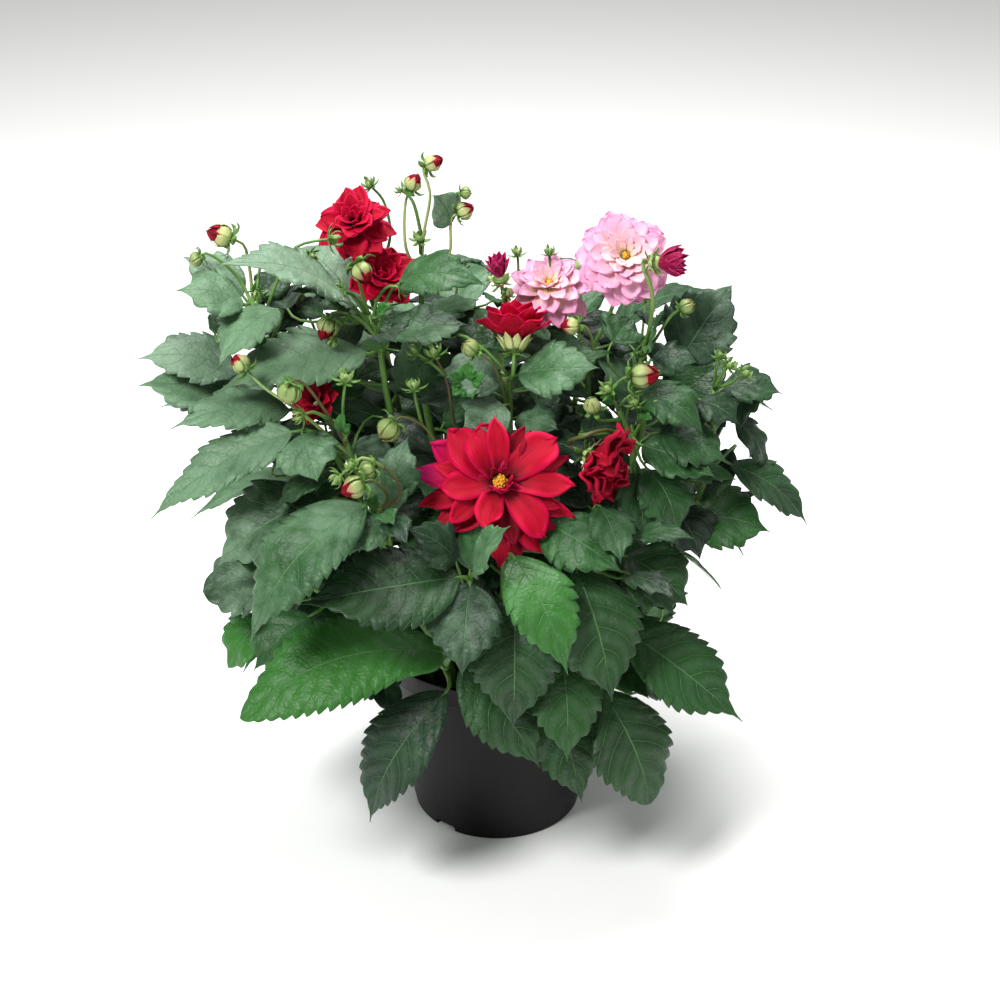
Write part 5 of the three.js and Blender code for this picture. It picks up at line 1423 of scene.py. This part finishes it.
# Leaves that close the view between the others: a place for the middle of each, and its length
coverLeaves = {
    "rear_left": [(312, 306, 14, 40), (388, 320, 30, 50), (352, 322, 24, 60), (364, 410, 4, 60), (285, 303, 10, 60),
                  (374, 380, 10, 50)],
    "top_left": [(474, 312, 52, 44), (490, 296, 54, 40), (412, 298, 56, 56), (406, 360, 44, 60), (450, 340, 44, 60),
                 (436, 390, 30, 56)],
    "red_rear": [(340, 350, 70, 60), (420, 410, 60, 60)],
    "side_left": [(214, 316, -8, 34), (285, 330, 0, 50), (262, 290, 10, 40), (300, 440, -30, 50)],
    "mid_left": [(350, 421, -36, 44), (300, 430, -50, 40), (322, 488, -40, 60), (420, 461, -20, 56),
                 (400, 430, -30, 50)],
    "front_left": [(406, 517, -50, 50), (430, 540, -60, 50)],
    "low_left": [(386, 694, -58, 46), (400, 640, -60, 60)],
    "low_side": [(322, 618, -40, 60), (262, 672, -66, 50)],
    "bloom_front": [(572, 508, -40, 50), (470, 560, -30, 60), (540, 560, -30, 60)],
    "centre": [(448, 402, -16, 50), (462, 398, -6, 44), (500, 400, 0, 50), (478, 331, 40, 50), (486, 300, 46, 50),
               (470, 420, 14, 60), (540, 440, 10, 60), (540, 400, 24, 60), (516, 412, 0, 40), (444, 344, 20, 50)],
    "low_right": [(640, 690, -66, 56), (560, 640, -60, 60)],
    "right_front": [(640, 682, -46, 50), (664, 616, -58, 44), (664, 606, -50, 50), (660, 618, -40, 56),
                    (620, 640, -50, 60), (690, 580, -40, 50)],
    "right_mid": [(572, 440, -10, 40), (595, 430, 0, 56), (560, 480, -16, 60), (620, 480, -8, 60), (660, 500, -6, 60)],
    "right_side": [(700, 440, 16, 60), (722, 468, 0, 50), (744, 400, 10, 44)],
    "rear_right": [(594, 325, 60, 50), (646, 330, 36, 50), (690, 400, 40, 60), (586, 370, 44, 60)],
    "pink": [(594, 322, 36, 44), (560, 370, 50, 60), (528, 330, 50, 50), (510, 350, 50, 50)],
}
# tone stays low: painted shade on the leaves that fill the gaps inside the foliage
coverRule = dict(
    tries=260, reach=60, widthShare=(0.5, 0.62), rise=(-40, 40), move=9, lowestRoot=140, steps=(4, 8),
    tone=(0.0, 0.3), blade=dict(toothPitch=10.5, tipPower=0.3, outward=0, front=0.9),
)


# Young leaves, small and bright
youngLeaves = {
    "centre": [
        dict(root=(466, 387, -38), base=(464, 384, -40), tip=(447, 374, -46), width=11),
        dict(root=(466, 386, -38), base=(466, 381, -40), tip=(469, 361, -40), width=12),
        dict(root=(466, 387, -38), base=(469, 384, -40), tip=(486, 373, -44), width=11),
        dict(root=(466, 388, -38), base=(467, 387, -42), tip=(473, 399, -52), width=11),
        dict(root=(466, 388, -38), base=(464, 387, -42), tip=(452, 396, -52), width=10),
    ],
    "mid_left": [dict(root=(347, 441, -64), base=(346, 434, -68), tip=(343, 411, -78), width=12)],
    "rear_left": [dict(root=(372, 320, -4), base=(378, 316, -10), tip=(392, 306, -20), width=10)],
    "side_left": [dict(root=(268, 352, -18), base=(262, 345, -24), tip=(252, 334, -32), width=10)],
    "right_mid": [dict(root=(634, 420, -36), base=(640, 414, -42), tip=(652, 420, -52), width=10),
                  dict(root=(616, 404, -34), base=(612, 400, -40), tip=(600, 398, -48), width=9)],
    "front_left": [dict(root=(386, 512, -92), base=(378, 508, -100), tip=(362, 500, -112), width=11)],
}
youngRule = dict(blade=dict(fresh=0.9, front=0.8), tone=0.85, stalkTone=0.7, steps=(4, 8))


def growCovers(places, points, stalks, blades, obstacles, chance):
    rule, grown = coverRule, 0
    path = [spot for spot in smoothPath(points, 6) if spot.z > rule["lowestRoot"]]
    for across, down, depth, length in places:
        for _ in range(rule["tries"]):
            move = [chance.uniform(-rule["move"], rule["move"]) for _ in range(3)]
            middle = at((across + move[0], down + move[1], depth + 2 * move[2]))
            rise = math.radians(chance.uniform(*rule["rise"]))
            heading = compass(chance.uniform(-180, 180)) * math.cos(rise) + upward * math.sin(rise)
            size = length * chance.uniform(0.8, 1.1)
            base, tip = middle - heading * (0.5 * size), middle + heading * (0.5 * size)
            root = min(path, key=lambda spot: (spot - base).length + max(0, spot.z - base.z))
            width = size * chance.uniform(*rule["widthShare"])
            form = leafForm(dict(base=base, tip=tip, width=width, **rule["blade"]), 0, 0)
            if (base - root).length < rule["reach"] and fits(form, root, obstacles):
                grown += 1
                growLeafStalk(stalks, form, root, chance.uniform(0.3, 0.55))
                growBlade(blades, form, chance.uniform(*rule["tone"]), chance, rule["steps"])
                break
    return grown


# Small buds beside the larger ones
smallBuds = {
    "side_left": [
        dict(root=(256, 314, -8), via=[(248, 316, -14)], head=(238, 321, -18), kind="star", size=3.6),
        dict(root=(252, 302, -6), via=[(240, 306, -10)], head=(226, 316, -16), kind="star", size=3.4),
        dict(root=(300, 248, -2), via=[(306, 252, -6)], head=(313, 257, -10), kind="star", size=3.4),
        dict(root=(256, 290, -6), via=[(258, 280, -12)], head=(256, 295, -20), kind="star", size=3.2),
    ],
    "rear_left": [
        dict(root=(350, 314, -20), via=[(340, 326, -24)], head=(332, 342, -28), kind="star", size=3.8),
        dict(root=(368, 312, 0), via=[(352, 294, -6)], head=(337, 290, -12), kind="star", size=4),
    ],
    "top_left": [
        dict(root=(421, 252, 32), via=[(420, 246, 28)], head=(419, 237, 24), kind="star", size=3.8),
        dict(root=(421, 236, 26), via=[(412, 200, 22), (404, 192, 22)], head=(398, 190, 22), kind="star", size=2.6),
    ],
    "mid_left": [
        dict(root=(328, 418, -70), via=[(312, 412, -78)], head=(298, 417, -84), kind="star", size=3.8),
        dict(root=(345, 440, -62), via=[(343, 405, -74)], head=(346, 376, -78), kind="star", size=4.6),
    ],
    "front_left": [
        dict(root=(370, 480, -112), via=[(358, 470, -116)], head=(350, 464, -118), kind="star", size=3.4),
    ],
    "centre": [
        dict(root=(422, 425, -60), via=[(416, 402, -64)], head=(413, 384, -64), kind="star", size=4.2),
        dict(root=(446, 378, -38), via=[(430, 362, -42)], head=(412, 351, -44), kind="star", size=3.8),
        dict(root=(500, 322, 12), via=[(506, 304, 4)], head=(508, 292, 0), kind="round", size=3.2),
        dict(root=(503, 350, 4), via=[(494, 332, 0)], head=(486, 322, -4), kind="star", size=3),
    ],
    "right_mid": [
        dict(root=(642, 424, -38), via=[(638, 412, -42)], head=(634, 401, -44), kind="star", size=3.6),
        dict(root=(614, 396, -36), via=[(612, 392, -44)], head=(606, 388, -48), kind="star", size=4),
    ],
    "right_side": [
        dict(root=(714, 388, -2), via=[(716, 370, -6)], head=(721, 354, -8), kind="star", size=3.6),
        dict(root=(714, 386, -4), via=[(722, 374, -10)], head=(731, 364, -14), kind="star", size=4),
        dict(root=(716, 390, -4), via=[(732, 382, -8)], head=(747, 372, -12), kind="star", size=4),
    ],
    "pink": [
        dict(root=(558, 325, 14), via=[(552, 290, 22)], head=(549, 250, 26), kind="star", size=3.6),
        dict(root=(548, 330, 14), via=[(522, 290, 30)], head=(517, 251, 30), kind="star", size=3.6),
    ],
}


# A leaf's tone by where it grows, as painted light and shade: paler at the top and on the left, towards the key light,
# darker on the right
paintedLeafLightRule = dict(
    least=0.14, high=0.62, left=0.24, right=0.32, differ=0.15,
    highFrom=(130, 330), leftFrom=(-40, -160), rightFrom=(20, 120),
)


def paintedLeafLight(spot):
    rule = paintedLeafLightRule
    tone = rule["least"] + rule["high"] * smoothStep(*rule["highFrom"], spot.z)
    tone += rule["left"] * smoothStep(*rule["leftFrom"], spot.x)
    return tone - rule["right"] * smoothStep(*rule["rightFrom"], spot.x)


def growStem(name, stem, chance):
    look = stemShape
    x, y = stem["hole"]
    levels = (soilLook["edgeLevel"] - look["depth"], soilLook["edgeLevel"], soilLook["crown"] + look["upright"])
    points = [Vector((x, y, level)) for level in levels] + [place(spot) for spot in stem["route"]]
    rooted, tone = {}, chance.uniform(0.3, 0.6)
    stalks, blades = startMesh(), startMesh()
    path = smoothPath(points, 8)
    addTube(stalks, path, tapered(look["girth"], look["topGirth"], len(path)), look["sides"], tone)
    for bloom in stem.get("blooms", []):
        growBloom(stalks, bloom, rootOf(points, rooted, bloom), chance, tone)
    for bud in stem.get("buds", []):
        growBud(stalks, bud, rootOf(points, rooted, bud), chance, chance.uniform(0.3, 0.75))
    tree, kept = solidCorners(name), 0
    for leaf in stem["leaves"]:
        root = rootOf(points, rooted, leaf)
        form = settledForm(leaf, tree)
        if form:
            kept += 1
            growLeafStalk(stalks, form, root, chance.uniform(0.35, 0.65))
            form["width"] *= leaf.get("fuller", 1)
            if "facing" in leaf:
                toward = Vector((0, -leaf["facing"], 1))
                form["side"] = (form["rib"][2] - form["rib"][0]).cross(toward).normalized()
            lit = paintedLeafLight(form["rib"][1]) + chance.uniform(-paintedLeafLightRule["differ"], paintedLeafLightRule["differ"])
            growBlade(blades, form, leaf.get("tone", lit), chance)
    grown = kdtree.KDTree(len(stalks.verts))
    for i, vert in enumerate(stalks.verts):
        grown.insert(vert.co, i)
    grown.balance()
    plain = name.removeprefix("stem_")
    for bud in smallBuds.get(plain, []):
        growBud(stalks, bud, grown.find(place(bud["root"]))[0], chance, chance.uniform(0.3, 0.6))
    for leaf in youngLeaves.get(plain, []):
        form = leafForm({**leaf, **youngRule["blade"]}, 0, 0)
        growLeafStalk(stalks, form, grown.find(place(leaf["root"]))[0], youngRule["stalkTone"])
        growBlade(blades, form, youngRule["tone"], chance, youngRule["steps"])
    filled = growCovers(coverLeaves.get(plain, []), points, stalks, blades, obstacles, chance)
    filled += growFill(points, stalks, blades, obstacles, chance)
    finishPiece(stalks, f"{name}_stalks", [stalkGreen], [name])
    finishPiece(blades, f"{name}_leaves", [leafTop, leafUnder], [name], thickness=leafShape["thickness"])
    return kept, len(stem["leaves"]), filled


chance = random.Random(11)
obstacles = [solidsTree()]
counts = []
for name, stem in {**stems, **{name: rearStem(rule) for name, rule in rearStems.items()}}.items():
    counts.append(growStem(f"stem_{name}", stem, chance))
    print(name, "leaves kept %d of %d, and %d inner ones" % counts[-1])
print("stems grown, leaves kept %d of %d, and %d inner ones" % tuple(map(sum, zip(*counts))))


# Studio

studio = dict(
    floor=(247, 247, 246), floorSize=4, world=(255, 255, 255), worldStrength=0.3, aim=(0, 0, 0.24),
    lights=[
        ("key", (-0.9, -1.0, 1.8), 0.7, 48), ("fill", (1.3, -1.2, 0.9), 1.4, 4), ("top", (0.1, 0.6, 1.9), 1.0, 44),
    ],
)


def makeStudio():
    mesh = bmesh.new()
    bmesh.ops.create_grid(mesh, x_segments=1, y_segments=1, size=studio["floorSize"])
    data = bpy.data.meshes.new("floor")
    mesh.to_mesh(data)
    mesh.free()
    floor = bpy.data.objects.new("floor", data)
    scene.collection.objects.link(floor)
    material, tree, shader, coordinates = newMaterial("floor paper", 0.8)
    shader.inputs["Base Color"].default_value = rgb(*studio["floor"])
    data.materials.append(material)
    world = bpy.data.worlds.new("studio")
    world.use_nodes = True
    background = world.node_tree.nodes["Background"]
    background.inputs[0].default_value = rgb(*studio["world"])
    background.inputs[1].default_value = studio["worldStrength"]
    scene.world = world
    for name, spot, size, power in studio["lights"]:
        light = bpy.data.lights.new(name, "AREA")
        light.shape, light.size, light.energy = "DISK", size, power
        lamp = bpy.data.objects.new(name, light)
        lamp.location = spot
        lamp.rotation_euler = (Vector(studio["aim"]) - Vector(spot)).to_track_quat("-Z", "Y").to_euler()
        scene.collection.objects.link(lamp)
    lens = bpy.data.cameras.new("camera")
    lens.sensor_width = viewpoint["sensor"]
    lens.lens = viewpoint["focal"] * viewpoint["sensor"] / 1000
    camera = bpy.data.objects.new("camera", lens)
    camera.location = eye * millimetre
    camera.rotation_euler = (math.pi / 2 - tilt, 0, 0)
    scene.collection.objects.link(camera)
    scene.camera = camera
    scene.view_settings.view_transform = "Standard"


makeStudio()
print("studio set")
